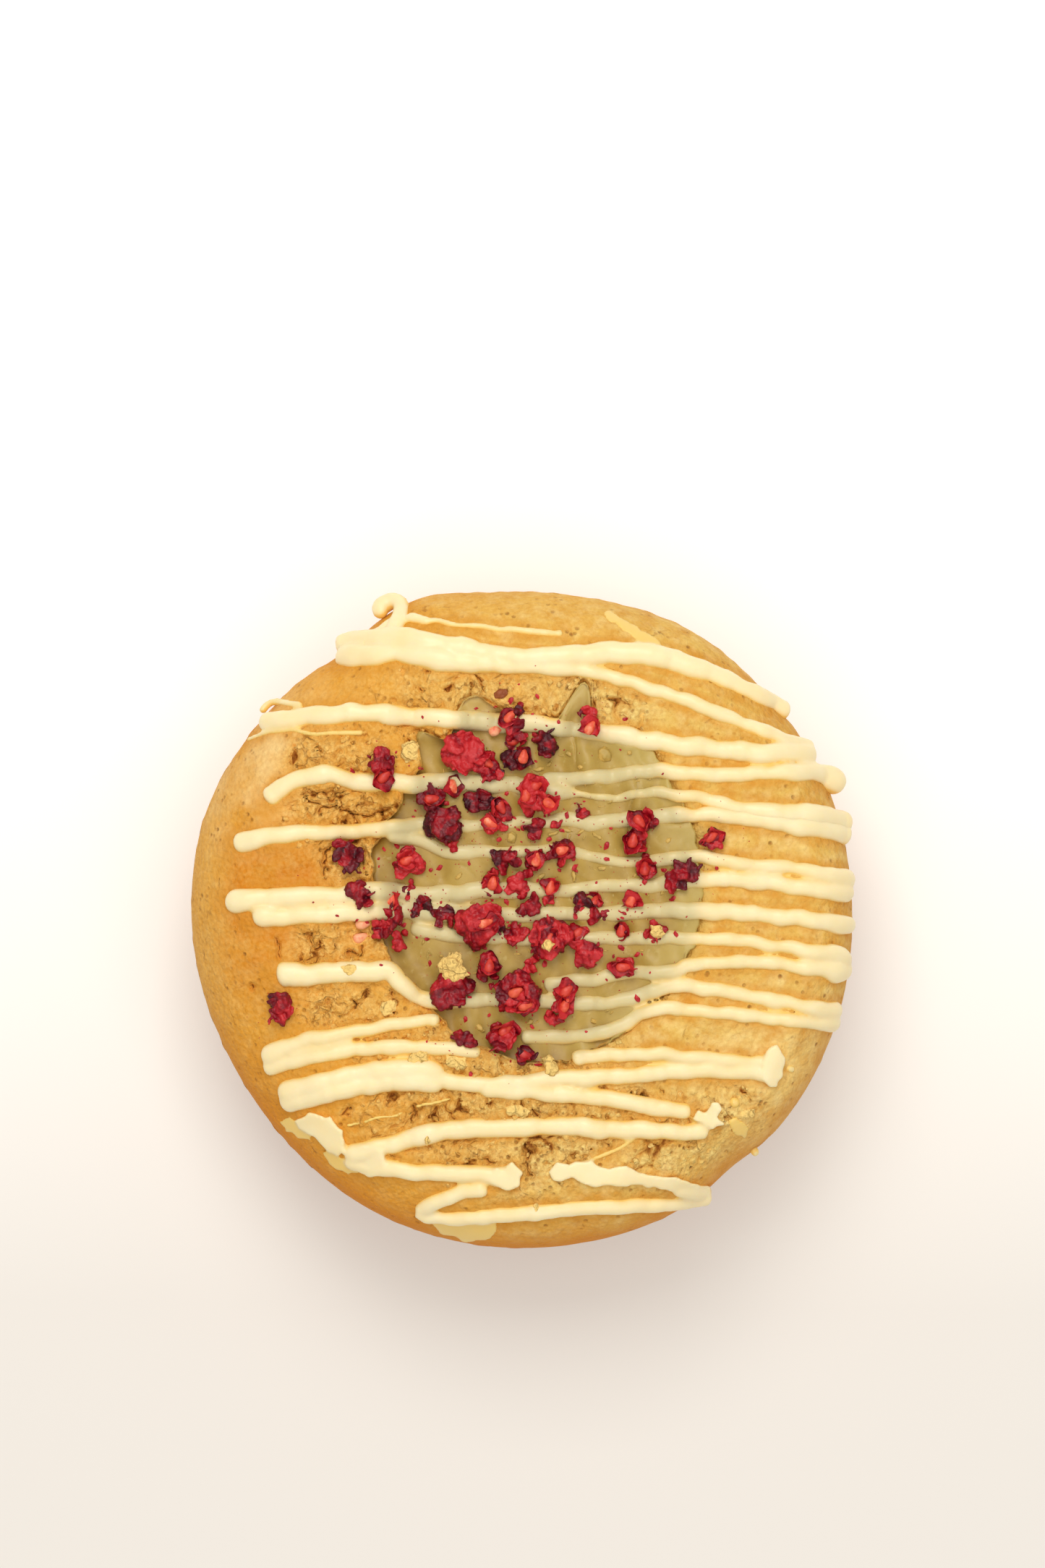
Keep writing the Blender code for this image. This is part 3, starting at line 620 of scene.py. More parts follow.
cream_material, wire, shader = new_material(
    "pistachio_cream", Roughness=0.42, Specular_IOR_Level=0.4,
    Subsurface_Weight=0.15, Subsurface_Scale=0.8 * MM, Subsurface_Radius=(1.0, 0.8, 0.3))
green = wire.mixed(wire.spots(5, 3, 0.0, 3), paint(158, 122, 45), paint(179, 147, 68))
green = green.coated(wire.spots(2.0, 3, 7.0, 3) * 0.6, paint(196, 164, 84))
green = green.coated(wire.spots(0.7, 3, 4.0, 8, -0.96) * 0.5, paint(208, 186, 118))
lobes = ((wire.axis("Y") - 23 * MM) / (4 * MM)).clamped()
green = green.coated(lobes * 0.7, paint(204, 172, 98))
# Paler towards the right edge: partly a thin smear of cream, partly painted light where the cream is lit on
# the right.
smeared = ((wire.away(*WELL_CENTRE) - 15 * MM) / (6 * MM)).clamped()
smeared = smeared * (wire.axis("X") / (16 * MM)).clamped()
green = green.coated(smeared * 0.8, paint(192, 168, 92))
connect(shader, Base_Color=green, Normal=wire.bump(wire.grain(1.0, 3, 2.0), 0.3, 0.15))
give(cream, cream_material)
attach(cream, "root")
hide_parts("filling")


# The white chocolate. It was piped from side to side in thin strings that bridge the well's edge,
# melt together where they meet, turn round at the rim and have chipped off in places.

BRIDGE = 3.2              # how far past the well's edge a string comes down to the cream
RIM_LIP = 0.5             # the strings bend down from this far inside the rim
OVER_RIM = 0.9            # how steeply a string bends down past the rim
STRINGS = [               # width, then the route: x, y and where it differs the width there
    (2.3, [(-16.8, 36.6), (-16.0, 37.8), (-15.6, 39.2), (-15.8, 40.4), (-17.0, 41.0), (-18.1, 40.4),
        (-18.2, 39.6), (-17.6, 39.2)]),
    (1.4, [(-19.2, 36.4), (-17.8, 37.3), (-16.6, 38.2)]),
    (1.5, [(-14.8, 38.7), (-13.4, 38.4), (-12.4, 38.1, 1.3), (-11.7, 38.0, 0.8)]),
    (0.9, [(-12.2, 38.1), (-4.4, 37.3), (5.0, 36.4, 1.1)]),
    (3.0, [(-23.9, 34.7, 3.4), (-20.2, 35.7, 3.2), (-16.1, 35.9), (-12.6, 35.5), (-7.9, 34.5),
        (-0.9, 33.5, 2.6), (4.4, 33.6, 2.9), (10.8, 34.0, 3.1), (16.7, 33.6, 3.2), (23.7, 31.3, 3.0),
        (28.4, 29.2, 2.8), (33.9, 26.7, 2.4)]),
    (3.0, [(-23.6, 33.9, 3.2), (-19.8, 33.5, 3.3), (-15.9, 34.0, 2.6), (-12.4, 33.5, 3.3),
        (-7.9, 32.9, 2.9), (-0.9, 32.5, 2.3), (7.3, 31.9, 2.0), (13.2, 30.4, 2.0), (19.6, 28.4, 2.0),
        (24.9, 26.3, 2.0), (30.7, 24.0, 2.0), (36.9, 21.8, 2.2)]),
    (2.7, [(-33.3, 25.2), (-24.3, 26.2), (-17.3, 26.4), (-11.4, 25.9), (-4.4, 25.4), (1.5, 25.1, 2.3),
        (7.3, 24.3, 2.3), (13.2, 23.5), (19.0, 22.5), (24.9, 21.9), (30.7, 21.4), (37.0, 21.2)]),
    (0.7, [(-35.3, 23.1), (-31.3, 24.3), (-26.0, 23.9), (-20.2, 24.1)]),
    (2.5, [(-32.6, 15.4, 3.0), (-30.5, 17.0), (-28.4, 18.1), (-24.9, 18.7), (-20.2, 17.8), (-13.7, 17.6),
        (-7.9, 17.8), (-0.9, 17.3), (3.0, 16.7, 2.0), (4.8, 16.5, 2.2), (7.6, 16.2, 1.0),
        (11.0, 15.8, 1.1), (14.2, 16.2, 1.3), (17.3, 16.4, 1.6), (21.9, 15.8, 1.8), (26.6, 14.6, 2.2),
        (30.7, 14.0, 2.6), (36.6, 13.5, 3.0), (41.6, 12.2, 3.5)]),
    (2.1, [(2.2, 17.8), (5.2, 18.2, 1.8), (10.1, 18.4, 2.0), (11.8, 18.7, 2.2), (13.2, 18.8, 1.9),
        (17.3, 19.3), (20.8, 18.8), (26.6, 18.7), (32.5, 18.9), (36.6, 18.9, 2.8), (39.0, 18.0, 3.4),
        (40.6, 16.8, 3.6)]),
    (2.1, [(-36.6, 9.8, 2.8), (-30.7, 11.1, 2.5), (-24.9, 11.4), (-19.6, 11.6), (-13.7, 12.4),
        (-6.3, 12.3, 1.8), (-1.3, 12.8, 1.6), (2.9, 12.6, 1.5), (4.9, 13.1, 2.0), (6.9, 12.8, 2.3),
        (10.1, 12.7, 2.0), (14.9, 13.2), (20.8, 13.7), (24.9, 13.5), (30.7, 13.0, 2.5),
        (41.5, 11.0, 3.0)]),
    (1.9, [(-17.3, 11.1), (-12.6, 10.2), (-9.5, 8.9), (-4.6, 9.0), (-1.0, 8.9, 1.6), (3.0, 9.2, 1.7),
        (6.9, 8.7, 1.7), (9.3, 8.2, 1.5), (14.2, 7.6, 1.5), (19.0, 8.2), (23.1, 8.2), (28.4, 7.3),
        (33.6, 7.0), (38.0, 6.0, 2.3), (41.9, 5.1, 2.9)]),
    (2.4, [(-37.6, 2.6, 2.8), (-30.7, 3.2, 2.8), (-23.7, 3.5), (-18.4, 4.1), (-12.6, 3.5), (-4.4, 4.1),
        (5.0, 4.1, 1.9), (10.8, 4.7, 1.9), (16.7, 4.7, 2.0), (23.1, 5.6), (29.5, 5.3), (35.4, 4.4),
        (41.6, 3.5)]),
    (2.4, [(-34.2, 0.6, 2.6), (-27.8, 0.9), (-21.9, 1.2), (-16.1, 1.5), (-7.9, 1.2), (-0.9, 0.9, 2.0),
        (5.6, 1.2, 2.0), (10.2, 1.2, 2.0), (16.1, 1.5, 2.1), (21.4, 1.5), (24.9, 1.5), (30.7, 0.9),
        (36.6, 0.3), (42.0, -0.6)]),
    (1.9, [(-14.3, -0.6), (-10.2, -1.5), (-4.4, -1.8), (3.0, -2.0), (10.2, -2.0), (16.1, -1.9),
        (21.9, -2.0), (27.8, -2.3), (33.6, -3.2), (38.6, -4.0, 2.6), (41.2, -5.2, 2.8)]),
    (1.9, [(2.6, -7.9), (7.3, -7.3), (13.2, -6.4), (19.0, -6.1), (20.8, -5.3), (24.9, -5.0), (30.7, -5.0),
        (36.6, -5.8, 2.4), (39.6, -6.0, 3.0), (41.4, -6.0, 3.0)]),
    (2.9, [(-31.2, -6.7, 3.1), (-24.9, -6.4), (-17.6, -6.1, 2.7), (-15.5, -7.6, 2.3), (-12.6, -9.7, 2.1),
        (-7.9, -9.9, 2.1), (-3.2, -9.7, 2.0), (1.5, -9.9, 2.0), (7.3, -10.2, 2.0), (13.2, -9.7, 2.0),
        (16.7, -8.5, 2.0), (19.0, -7.9, 2.0), (24.9, -8.5, 2.1), (30.7, -9.7, 2.1), (36.6, -10.8, 2.1),
        (40.2, -11.4, 2.7)]),
    (1.9, [(-0.3, -14.6), (7.3, -14.3), (12.0, -13.2), (14.9, -11.4), (17.8, -10.8), (24.9, -11.4),
        (30.7, -12.0), (36.6, -12.7), (40.0, -12.7, 2.8)]),
    (1.8, [(-33.0, -17.2, 2.8), (-30.0, -15.7, 2.5), (-27.0, -14.8, 2.1), (-19.6, -13.4), (-13.7, -12.5),
        (-10.6, -12.6, 1.7)]),
    (2.0, [(-32.8, -18.2, 2.6), (-27.0, -17.1), (-22.0, -16.2), (-17.3, -15.7), (-12.6, -15.7),
        (-8.5, -15.9), (-5.4, -16.4, 1.5)]),
    (1.9, [(6.1, -17.3), (10.2, -16.7), (16.1, -16.5), (21.9, -17.0), (30.7, -17.8)]),
    (2.9, [(-30.8, -21.9, 3.4), (-26.0, -20.4), (-19.0, -18.8), (-12.6, -18.6), (-10.2, -19.5, 2.4)]),
    (2.9, [(-30.6, -22.9, 3.0), (-26.0, -21.7), (-19.0, -20.2), (-12.6, -19.9), (-10.2, -20.3, 2.4)]),
    (2.3, [(-11.5, -19.3), (-10.2, -19.9), (-4.4, -20.4), (1.5, -20.0), (4.4, -19.6), (13.2, -19.3),
        (19.0, -18.7), (24.9, -18.7), (31.6, -19.0)]),
    (2.3, [(-5.5, -20.8), (-1.5, -21.1), (4.4, -21.6), (10.2, -22.1), (16.1, -23.2), (21.2, -23.9, 2.0)]),
    (2.6, [(-22.4, -29.3), (-19.0, -28.6), (-16.1, -27.8), (-10.2, -26.3), (-4.4, -26.0), (4.4, -25.7),
        (10.2, -26.0), (19.0, -26.4, 2.3), (23.4, -26.4, 2.1)]),
    (2.4, [(-22.4, -29.6, 2.8), (-20.9, -30.4), (-16.1, -31.2), (-10.2, -31.6), (-4.4, -31.9),
        (-1.4, -32.1, 2.9)]),
    (0.5, [(-22.5, -25.7), (-19.0, -24.9), (-15.2, -23.9)]),
    (0.5, [(-13.7, -23.3), (-11.5, -22.8), (-9.1, -22.1)]),
    (2.3, [(23.9, -35.2), (19.0, -35.7), (13.0, -35.8), (7.3, -36.0), (1.5, -36.6), (-4.4, -37.1),
        (-10.2, -37.4), (-12.3, -37.2), (-12.7, -36.3), (-10.2, -34.9), (-4.6, -33.3, 1.9)]),
    (2.3, [(19.0, -33.5), (23.7, -35.0)]),
    (0.6, [(5.6, -31.0), (10.0, -29.4), (14.0, -27.5)]),
    (1.5, [(-30.0, -16.6), (-25.0, -15.7), (-21.5, -15.0, 1.1)]),
    (1.3, [(-33.5, 1.6), (-28.0, 2.1), (-23.5, 2.4), (-19.5, 2.8, 0.8)]),
]
SMEARS = [                # thin smears, drawn as strings and sunk until little of them shows
    (1.0, [(-33.6, 26.6), (-32.4, 27.8), (-30.4, 28.0), (-28.0, 27.2)]),
    (1.5, [(26.0, -22.9), (27.3, -22.6)]),
    (1.7, [(29.0, -29.6), (30.0, -29.0)]),
    (1.0, [(33.2, -18.3), (34.3, -18.9)]),
]
SMEAR_RISE = 0.25         # how far they stand out of the crust
STRING_FLATNESS = 0.84
STRING_SINK = 0.12
STRING_STEP = 0.4
STRING_SWELLS = [(0.18, 3.0, 0), (0.09, 1.1, 5)]        # share of the width, pitch, which
STRING_END = 0.07         # how much a string swells just before its end
STRING_SWAY = 0.32
STRING_VOXEL = 0.25
CHIPS = [                 # broken flat bits of the white chocolate, by their outlines
    [(30.4, -16.4), (32.0, -15.5), (33.2, -17.4), (32.8, -19.6), (31.6, -21.0), (30.4, -20.2)],
    [(-4.1, -30.8), (-2.2, -31.0), (-1.5, -29.9), (-0.9, -30.9), (-0.1, -31.6), (-0.2, -33.3),
     (-2.0, -33.6), (-4.1, -33.1)],
    [(-22.6, -28.7), (-19.6, -28.1), (-17.7, -28.9), (-17.7, -31.8), (-19.6, -32.2), (-22.2, -30.6)],
    [(3.4, -31.2), (4.2, -30.2), (6.0, -30.4), (8.5, -29.9), (9.4, -30.9), (13.2, -31.0), (16.5, -32.0),
     (19.0, -32.4), (24.0, -34.0), (23.6, -35.8), (19.0, -34.4), (15.0, -33.2), (12.0, -33.4),
     (8.5, -33.4), (6.2, -32.5), (3.6, -32.8)],
    [(-28.8, -25.1), (-27.0, -24.1), (-24.4, -24.7), (-24.0, -25.6), (-23.1, -26.2), (-22.6, -28.3),
     (-23.4, -29.6), (-24.7, -29.1), (-26.4, -27.3), (-28.4, -26.2)],
    [(21.2, -25.0), (22.2, -23.6), (23.2, -24.1), (24.0, -22.8), (25.2, -23.4), (24.6, -24.6),
     (25.6, -25.6), (24.0, -26.1), (22.6, -25.5)],
]
CHIP_RISE = 0.8
CHIP_ROOT = 0.5           # how deep a chip reaches into the crust
CHIP_STEP = 0.6
FILMS = [                 # thin smears, by their outlines: the first lies above, the others below
    [(9.9, 39.5), (11.0, 39.6), (13.6, 38.0), (16.6, 36.0), (19.5, 33.8), (17.0, 34.0), (14.2, 35.6),
     (11.4, 37.8)],
    [(-12.7, -37.4), (-11.8, -38.9), (-9.5, -40.2), (-6.5, -40.9), (-4.2, -40.3), (-3.2, -38.8),
     (-4.0, -37.4)],
    [(25.9, -25.0), (27.0, -24.8), (28.5, -26.2), (28.2, -27.4), (26.6, -26.6)],
    [(-31.2, -25.0), (-29.6, -24.8), (-28.2, -26.0), (-27.2, -27.4), (-28.6, -27.8), (-30.4, -26.6)],
    [(-25.6, -29.2), (-24.0, -29.0), (-22.3, -30.4), (-21.0, -31.6), (-22.6, -32.0), (-24.6, -30.8)],
]
FILM_RISE = 0.14
TOP_ABOVE = 14.5          # strings whose middle lies above this are the top ones
BOTTOM_BELOW = -12.6
STRING_SHADE_REACH = 1.1          # how far beside a string the crust is painted with its shade


def ground(x, y):
    """The level that a string or a raspberry lies on. A string bridges the well's edge."""
    angle = math.degrees(math.atan2(y, x))
    lip = rim_radius(angle) - RIM_LIP
    past_lip = math.hypot(x, y) - lip
    if past_lip > 0:
        along_x, along_y = direction(angle)
        return crust_height(lip * along_x, lip * along_y) - OVER_RIM * past_lip
    past = past_well(x, y)
    if past >= 0:
        return crust_height(x, y)
    inside = smooth_step(-past / BRIDGE)
    climb = CREAM_CLIMB * (1 + past / WELL_RADIUS) ** 8
    return crust_height(x, y) * (1 - inside) + (cream_height(x, y) + climb) * inside


def spline_point(before, start, end, after, share):
    """A point on the smooth curve from start to end, steered by the points on either side."""
    return [
        0.5 * (2 * b + (c - a) * share + (2 * a - 5 * b + 4 * c - d) * share ** 2
               + (3 * b - a - 3 * c + d) * share ** 3)
        for a, b, c, d in zip(before, start, end, after)
    ]


def smooth_route(width, route):
    """Points x, y and width along the smooth curve through a route."""
    route = [(*point, width)[:3] for point in route]
    guides = [route[0], *route, route[-1]]
    points = []
    for i in range(len(route) - 1):
        count = max(2, round(math.dist(route[i][:2], route[i + 1][:2]) / STRING_STEP))
        points += [spline_point(*guides[i:i + 4], k / count) for k in range(count)]
    return points + [route[-1]]


def lay_string(curve, number, width, route):
    """Adds a string to the curve: it lies on the ground, swells a little and has round ends."""
    smeared = number >= len(STRINGS)
    points = smooth_route(width, route)
    spline = curve.splines.new("POLY")
    spline.points.add(len(points) - 1)
    length = 0.0
    for i, (x, y, wide) in enumerate(points):
        if i:
            length += math.dist(points[i - 1][:2], (x, y))
        wavy = 1.0
        for share, pitch, which in STRING_SWELLS:
            wavy += share * noise.noise(Vector((length / pitch, number, which)))
        to_end = min(i, len(points) - 1 - i) * STRING_STEP
        tip = math.sqrt(1 - max(0.0, 1 - (to_end + 0.03 * wide) / (0.55 * wide)) ** 2)
        wavy += STRING_END * math.exp(-((to_end / wide - 0.7) / 0.5) ** 2)
        sway = STRING_SWAY * noise.noise(Vector((length / 2.6, number, 9)))
        sink = 0.5 * STRING_FLATNESS * wide - SMEAR_RISE if smeared else STRING_SINK * wide
        middle = ground(x, y + sway) - sink
        spline.points[i].co = (*(Vector((x, y + sway, middle)) * MM), 1)
        spline.points[i].radius = 0.5 * wide * wavy * max(tip, 0.2) * MM


def draw_strings(name, strings):
    """Draws the strings as curves with a flattened round section, and makes them one mesh."""
    bpy.ops.object.select_all(action="DESELECT")
    bpy.ops.curve.primitive_bezier_circle_add(radius=1)
    section = bpy.context.object
    bpy.ops.object.mode_set(mode="EDIT")
    bpy.ops.transform.resize(value=(1, STRING_FLATNESS, 1))
    bpy.ops.object.mode_set(mode="OBJECT")
    section.data.resolution_u = 4
    bpy.ops.curve.primitive_nurbs_path_add()
    drawn = bpy.context.object
    drawn.name = name
    drawn.data.splines.clear()
    for number, (width, route) in strings:
        lay_string(drawn.data, number, width, route)
    drawn.data.twist_mode = "Z_UP"
    drawn.data.bevel_mode = "OBJECT"
    drawn.data.bevel_object = section
    drawn.data.use_fill_caps = True
    bpy.ops.object.convert(target="MESH")
    bpy.data.objects.remove(section)
    return drawn


def cut_chip(outline, rise):
    """Draws a chip's ragged outline, fills it, lays it on the crust and pulls it up to a slab."""
    corners = []
    for start, end in zip(outline, outline[1:] + outline[:1]):
        count = max(1, round(math.dist(start, end) / CHIP_STEP))
        for k in range(count):
            x, y = (start[i] + (end[i] - start[i]) * (k / count) for i in (0, 1))
            ragged = 0.6 * drift(x, y, 1.4, 40) + 0.3 * drift(x, y, 0.6, 41)
            corners.append(Vector((x + ragged.x, y + ragged.y, CROWN_HEIGHT)) * MM)
    chip = draw_line(corners)
    bpy.ops.mesh.edge_face_add()
    bpy.ops.mesh.quads_convert_to_tris()
    bpy.ops.mesh.subdivide(number_cuts=5)
    bpy.ops.object.mode_set(mode="OBJECT")
    for corner in chip.data.vertices:
        corner.co.z = (ground(corner.co.x / MM, corner.co.y / MM) - CHIP_ROOT) * MM
    bpy.ops.object.mode_set(mode="EDIT")
    bpy.ops.mesh.select_all(action="SELECT")
    thickness = Vector((0, 0, CHIP_ROOT + rise)) * MM
    bpy.ops.mesh.extrude_region_move(TRANSFORM_OT_translate={"value": thickness})
    bpy.ops.mesh.select_all(action="SELECT")
    bpy.ops.mesh.normals_make_consistent(inside=False)
    bpy.ops.object.mode_set(mode="OBJECT")
    return chip


def apply_all(piece):
    """Applies the piece's modifiers in their order."""
    bpy.context.view_layer.objects.active = piece
    for modifier in list(piece.modifiers):
        bpy.ops.object.modifier_apply(modifier=modifier.name)


def melt(piece, voxel, rounds):
    """Makes one skin of pieces that run into each other, and smooths the joins."""
    remesh = piece.modifiers.new("Melt", "REMESH")
    remesh.mode = "VOXEL"
    remesh.voxel_size = voxel * MM
    smooth = piece.modifiers.new("Soften", "SMOOTH")
    smooth.factor = 0.5
    smooth.iterations = rounds
    apply_all(piece)
    piece.data.shade_smooth()


def tree_of(points):
    """A search tree that finds the nearest of some points."""
    tree = KDTree(len(points))
    for i, point in enumerate(points):
        tree.insert(point, i)
    tree.balance()
    return tree


string_tree = tree_of([
    (x, y, 0.5 * wide) for string in STRINGS for x, y, wide in smooth_route(*string)
])


def beside_string(x, y):
    """How much painted shade the crust takes beside a string: 1 at its foot, falling to 0 a little way from
    it.
    """
    (middle_x, middle_y, half), _, _ = string_tree.find((x, y, 1.2))
    return smooth_step(1.2 - (math.hypot(x - middle_x, y - middle_y) - half) / STRING_SHADE_REACH)


# Stores on the crust how much painted shade each point takes from the strings beside it.
store(cookie, "beside", [beside_string(*(corner.co / MM).xy) for corner in cookie.data.vertices])
chocolate, wire, shader = new_material(
    "white_chocolate", Roughness=0.36, Specular_IOR_Level=0.4,
    Subsurface_Weight=0.25, Subsurface_Scale=1.0 * MM, Subsurface_Radius=(1.0, 0.7, 0.35))
over_cream = wire.stored("over_cream")
foot = wire.stored("foot")
tinted = wire.mixed(wire.spots(4.0, 3, 0.0, 2), paint(252, 226, 168), paint(255, 236, 190))
# Darker and greener over the cream: partly cream mixed in, partly painted shade in the well and painted
# green light reflected from the cream.
tinted = tinted.coated(over_cream * 0.85, paint(208, 194, 142))
# Painted shade: the strings turn a deeper yellow towards their foot, where their lower sides fall into
# shade.
tinted = tinted.coated(foot * (0.7 - over_cream * 0.4), paint(240, 202, 112))
foot_shade = ((foot - 0.72) * 4).clamped()
tinted = tinted.coated(foot_shade * (0.85 - over_cream * 0.6), paint(250, 204, 104))
connect(shader, Base_Color=tinted, Normal=wire.bump(wire.grain(0.9, 2, 3.0), 0.15, 0.1))

groups = {"drizzle_top": [], "drizzle_middle": [], "drizzle_bottom": []}
for number, (width, route) in enumerate(STRINGS + SMEARS):
    middle = sum(point[1] for point in route) / len(route)
    where = "top" if middle > TOP_ABOVE else "middle" if middle > BOTTOM_BELOW else "bottom"
    groups["drizzle_" + where].append((number, (width, route)))
drizzle = []
for name, strings in groups.items():
    piece = draw_strings(name, strings)
    chips = []
    if name == "drizzle_top":
        chips = [cut_chip(FILMS[0], FILM_RISE)]
    if name == "drizzle_bottom":
        chips = [cut_chip(outline, CHIP_RISE) for outline in CHIPS]
        chips += [cut_chip(outline, FILM_RISE) for outline in FILMS[1:]]
    bpy.ops.object.select_all(action="DESELECT")
    for chip in [*chips, piece]:
        chip.select_set(True)
    bpy.context.view_layer.objects.active = piece
    bpy.ops.object.join()
    melt(piece, STRING_VOXEL, 2)
    places = [corner.co / MM for corner in piece.data.vertices]
    store(piece, "over_cream", [smooth_step(0.5 - past_well(x, y) / 3) for x, y, _ in places])
    # The foot share, 1 at the ground and 0 from 0.8 mm up, carries the painted shade of each string's lower
    # side.
    store(piece, "foot", [1 - smooth_step((level - ground(x, y)) / 0.8) for x, y, level in places])
    give(piece, chocolate)
    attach(piece, "root")
    drizzle.append(piece)


# The dried raspberries. Freeze-dried berries, broken over the cream: clusters of crinkled lobes with
# ragged edges, from bright pink-red to nearly black-red, each lying where it fell.

FRAGMENTS = [             # x, y, length, width, turn, tone from 0 dark to 1 bright
    (-7.3, 21.4, 6.4, 5.3, -10, 0.75), (-4.2, 19.0, 3.6, 3.0, -30, 0.6), (-0.9, 24.0, 3.4, 3.2, 60, 0.4),
    (2.6, 22.8, 3.8, 3.4, 80, 0.25), (-1.2, 20.6, 3.6, 2.9, 10, 0.0), (8.4, 25.8, 3.5, 3.2, 40, 0.9),
    (-11.7, 15.8, 3.6, 3.5, 0, 0.3), (-10.2, 12.6, 5.4, 5.0, -40, 0.2), (-5.6, 15.5, 5.6, 3.2, 5, 0.15),
    (-3.8, 12.6, 4.4, 2.9, -10, 0.8), (1.5, 15.8, 5.3, 4.5, -60, 0.85), (1.2, 11.6, 3.5, 2.9, 80, 0.35),
    (14.9, 13.0, 3.6, 3.3, -30, 0.6), (14.4, 10.2, 3.8, 3.4, 50, 0.5), (15.4, 7.0, 3.8, 2.2, 85, 0.5),
    (-14.6, 7.4, 4.4, 3.9, 20, 0.85), (-2.3, 7.9, 4.1, 3.5, -20, 0.3), (1.4, 8.0, 3.5, 2.9, 80, 0.6),
    (4.7, 8.8, 3.8, 3.4, 15, 0.4), (-0.4, 5.2, 4.3, 3.2, 50, 0.7), (-13.0, 2.0, 3.4, 2.7, 80, 0.3),
    (-10.2, 0.8, 3.5, 3.2, -30, 0.35), (-5.3, -0.3, 6.4, 5.6, 20, 0.5), (0.4, 2.4, 4.1, 3.2, 25, 0.4),
    (-1.2, -1.3, 3.3, 3.1, 0, 0.6), (7.3, 2.5, 3.5, 2.7, -10, 0.05), (9.4, 1.4, 4.8, 2.6, 70, 0.5),
    (3.2, -2.0, 6.2, 5.4, 60, 0.55), (7.9, -3.8, 4.4, 4.0, 70, 0.6), (16.4, -1.0, 3.0, 2.9, 0, 0.7),
    (12.6, -5.6, 3.5, 2.6, 10, 0.7), (-4.4, -5.9, 5.2, 3.1, 85, 0.4), (-9.0, -8.4, 5.6, 5.2, 60, 0.35),
    (-0.9, -8.8, 6.1, 5.7, -40, 0.6), (5.0, -9.8, 4.4, 3.4, 70, 0.75), (-2.6, -14.4, 4.4, 3.8, 40, 0.5),
    (19.9, 6.0, 6.2, 3.5, 35, 0.3), (-22.1, 8.4, 5.6, 3.8, -60, 0.3), (-20.7, 3.6, 4.6, 3.3, -50, 0.3),
    (-17.8, 20.2, 5.2, 4.0, 70, 0.45), (24.0, 10.5, 3.5, 3.2, 20, 0.45), (-30.7, -10.8, 4.7, 3.8, 70, 0.5),
    (-0.6, 27.0, 2.3, 1.6, 60, 0.2), (-16.6, 0.6, 4.2, 3.0, 70, 0.5), (-18.0, -0.6, 3.6, 2.6, -60, 0.55),
    (-15.5, -2.0, 3.2, 2.6, 40, 0.6), (-4.1, 5.3, 3.5, 2.3, 80, 0.6), (7.4, 13.9, 2.1, 2.0, 0, 0.6),
    (4.1, 12.5, 1.4, 1.3, 0, 0.7), (3.5, 3.5, 3.2, 2.0, 80, 0.8), (0.9, -5.3, 4.0, 2.0, 60, 0.7),
    (13.5, 2.8, 2.3, 1.8, 70, 0.8), (12.3, 1.0, 1.5, 1.3, 0, 0.6), (12.5, -0.9, 2.0, 1.5, 80, 0.4),
    (3.8, -12.0, 2.5, 2.3, 0, 0.8), (-7.3, -14.6, 4.1, 2.3, -25, 0.3), (0.3, -17.0, 3.5, 2.3, -10, 0.1),
    (-8.9, 9.9, 2.6, 1.8, 80, 0.8), (-14.4, 4.6, 2.2, 1.6, 60, 0.6), (-2.9, 14.8, 2.8, 1.5, -60, 0.6),
]
BERRY_VOXEL = 0.15
LARGE_BERRY = 12.0        # length times width, above which a fragment counts as a large one
scatter = random.Random(7)


def copies(name, model, matrices):
    """Copies a small model to each place, each copy with its own mesh, and joins them."""
    bpy.ops.object.select_all(action="DESELECT")
    for matrix in matrices:
        copy = model.copy()
        copy.data = model.data.copy()
        copy.data.transform(matrix)
        bpy.context.scene.collection.objects.link(copy)
        copy.select_set(True)
        bpy.context.view_layer.objects.active = copy
    bpy.ops.object.join()
    joined = bpy.context.object
    joined.name = name
    bpy.data.objects.remove(model)
    return joined


def small_model(subdivisions, lumps, seed):
    """A ball of radius 1 with soft lumps, the start of each lobe, seed or crumb."""
    bpy.ops.object.select_all(action="DESELECT")
    bpy.ops.mesh.primitive_ico_sphere_add(subdivisions=subdivisions, radius=1)
    for corner in bpy.context.object.data.vertices:
        corner.co *= 1 + lumps * noise.noise(corner.co * 1.6 + Vector((seed, 0, 0)))
    return bpy.context.object


def placed(x, y, level, sizes, turn, tilt=(0.0, 0.0)):
    """The matrix that sizes, tilts and turns a model and puts it at a place in millimetres."""
    spin = Matrix.Rotation(math.radians(turn), 4, "Z")
    lean = Matrix.Rotation(tilt[0], 4, "X") @ Matrix.Rotation(tilt[1], 4, "Y")
    size = Matrix.Diagonal((*[0.5 * value * MM for value in sizes], 1))
    return Matrix.Translation(Vector((x, y, level)) * MM) @ spin @ lean @ size


def shard_model(subdivisions, seed):
    """A ball of radius 1 cut flat on many sides, with the sharp edges of a broken piece."""
    shard = small_model(subdivisions, 0.0, seed)
    cuts = random.Random(seed)
    sides = [Vector([cuts.gauss(0, 1) for _ in range(3)]).normalized() for _ in range(10)]
    for corner in shard.data.vertices:
        facing = corner.co.normalized()
        corner.co *= min([1.0] + [0.74 / facing.dot(side) for side in sides if facing.dot(side) > 0.1])
    return shard


def any_tilt(about_x, about_y):
    """A tilt by chance, up to these angles in radians either way."""
    return scatter.uniform(-about_x, about_x), scatter.uniform(-about_y, about_y)


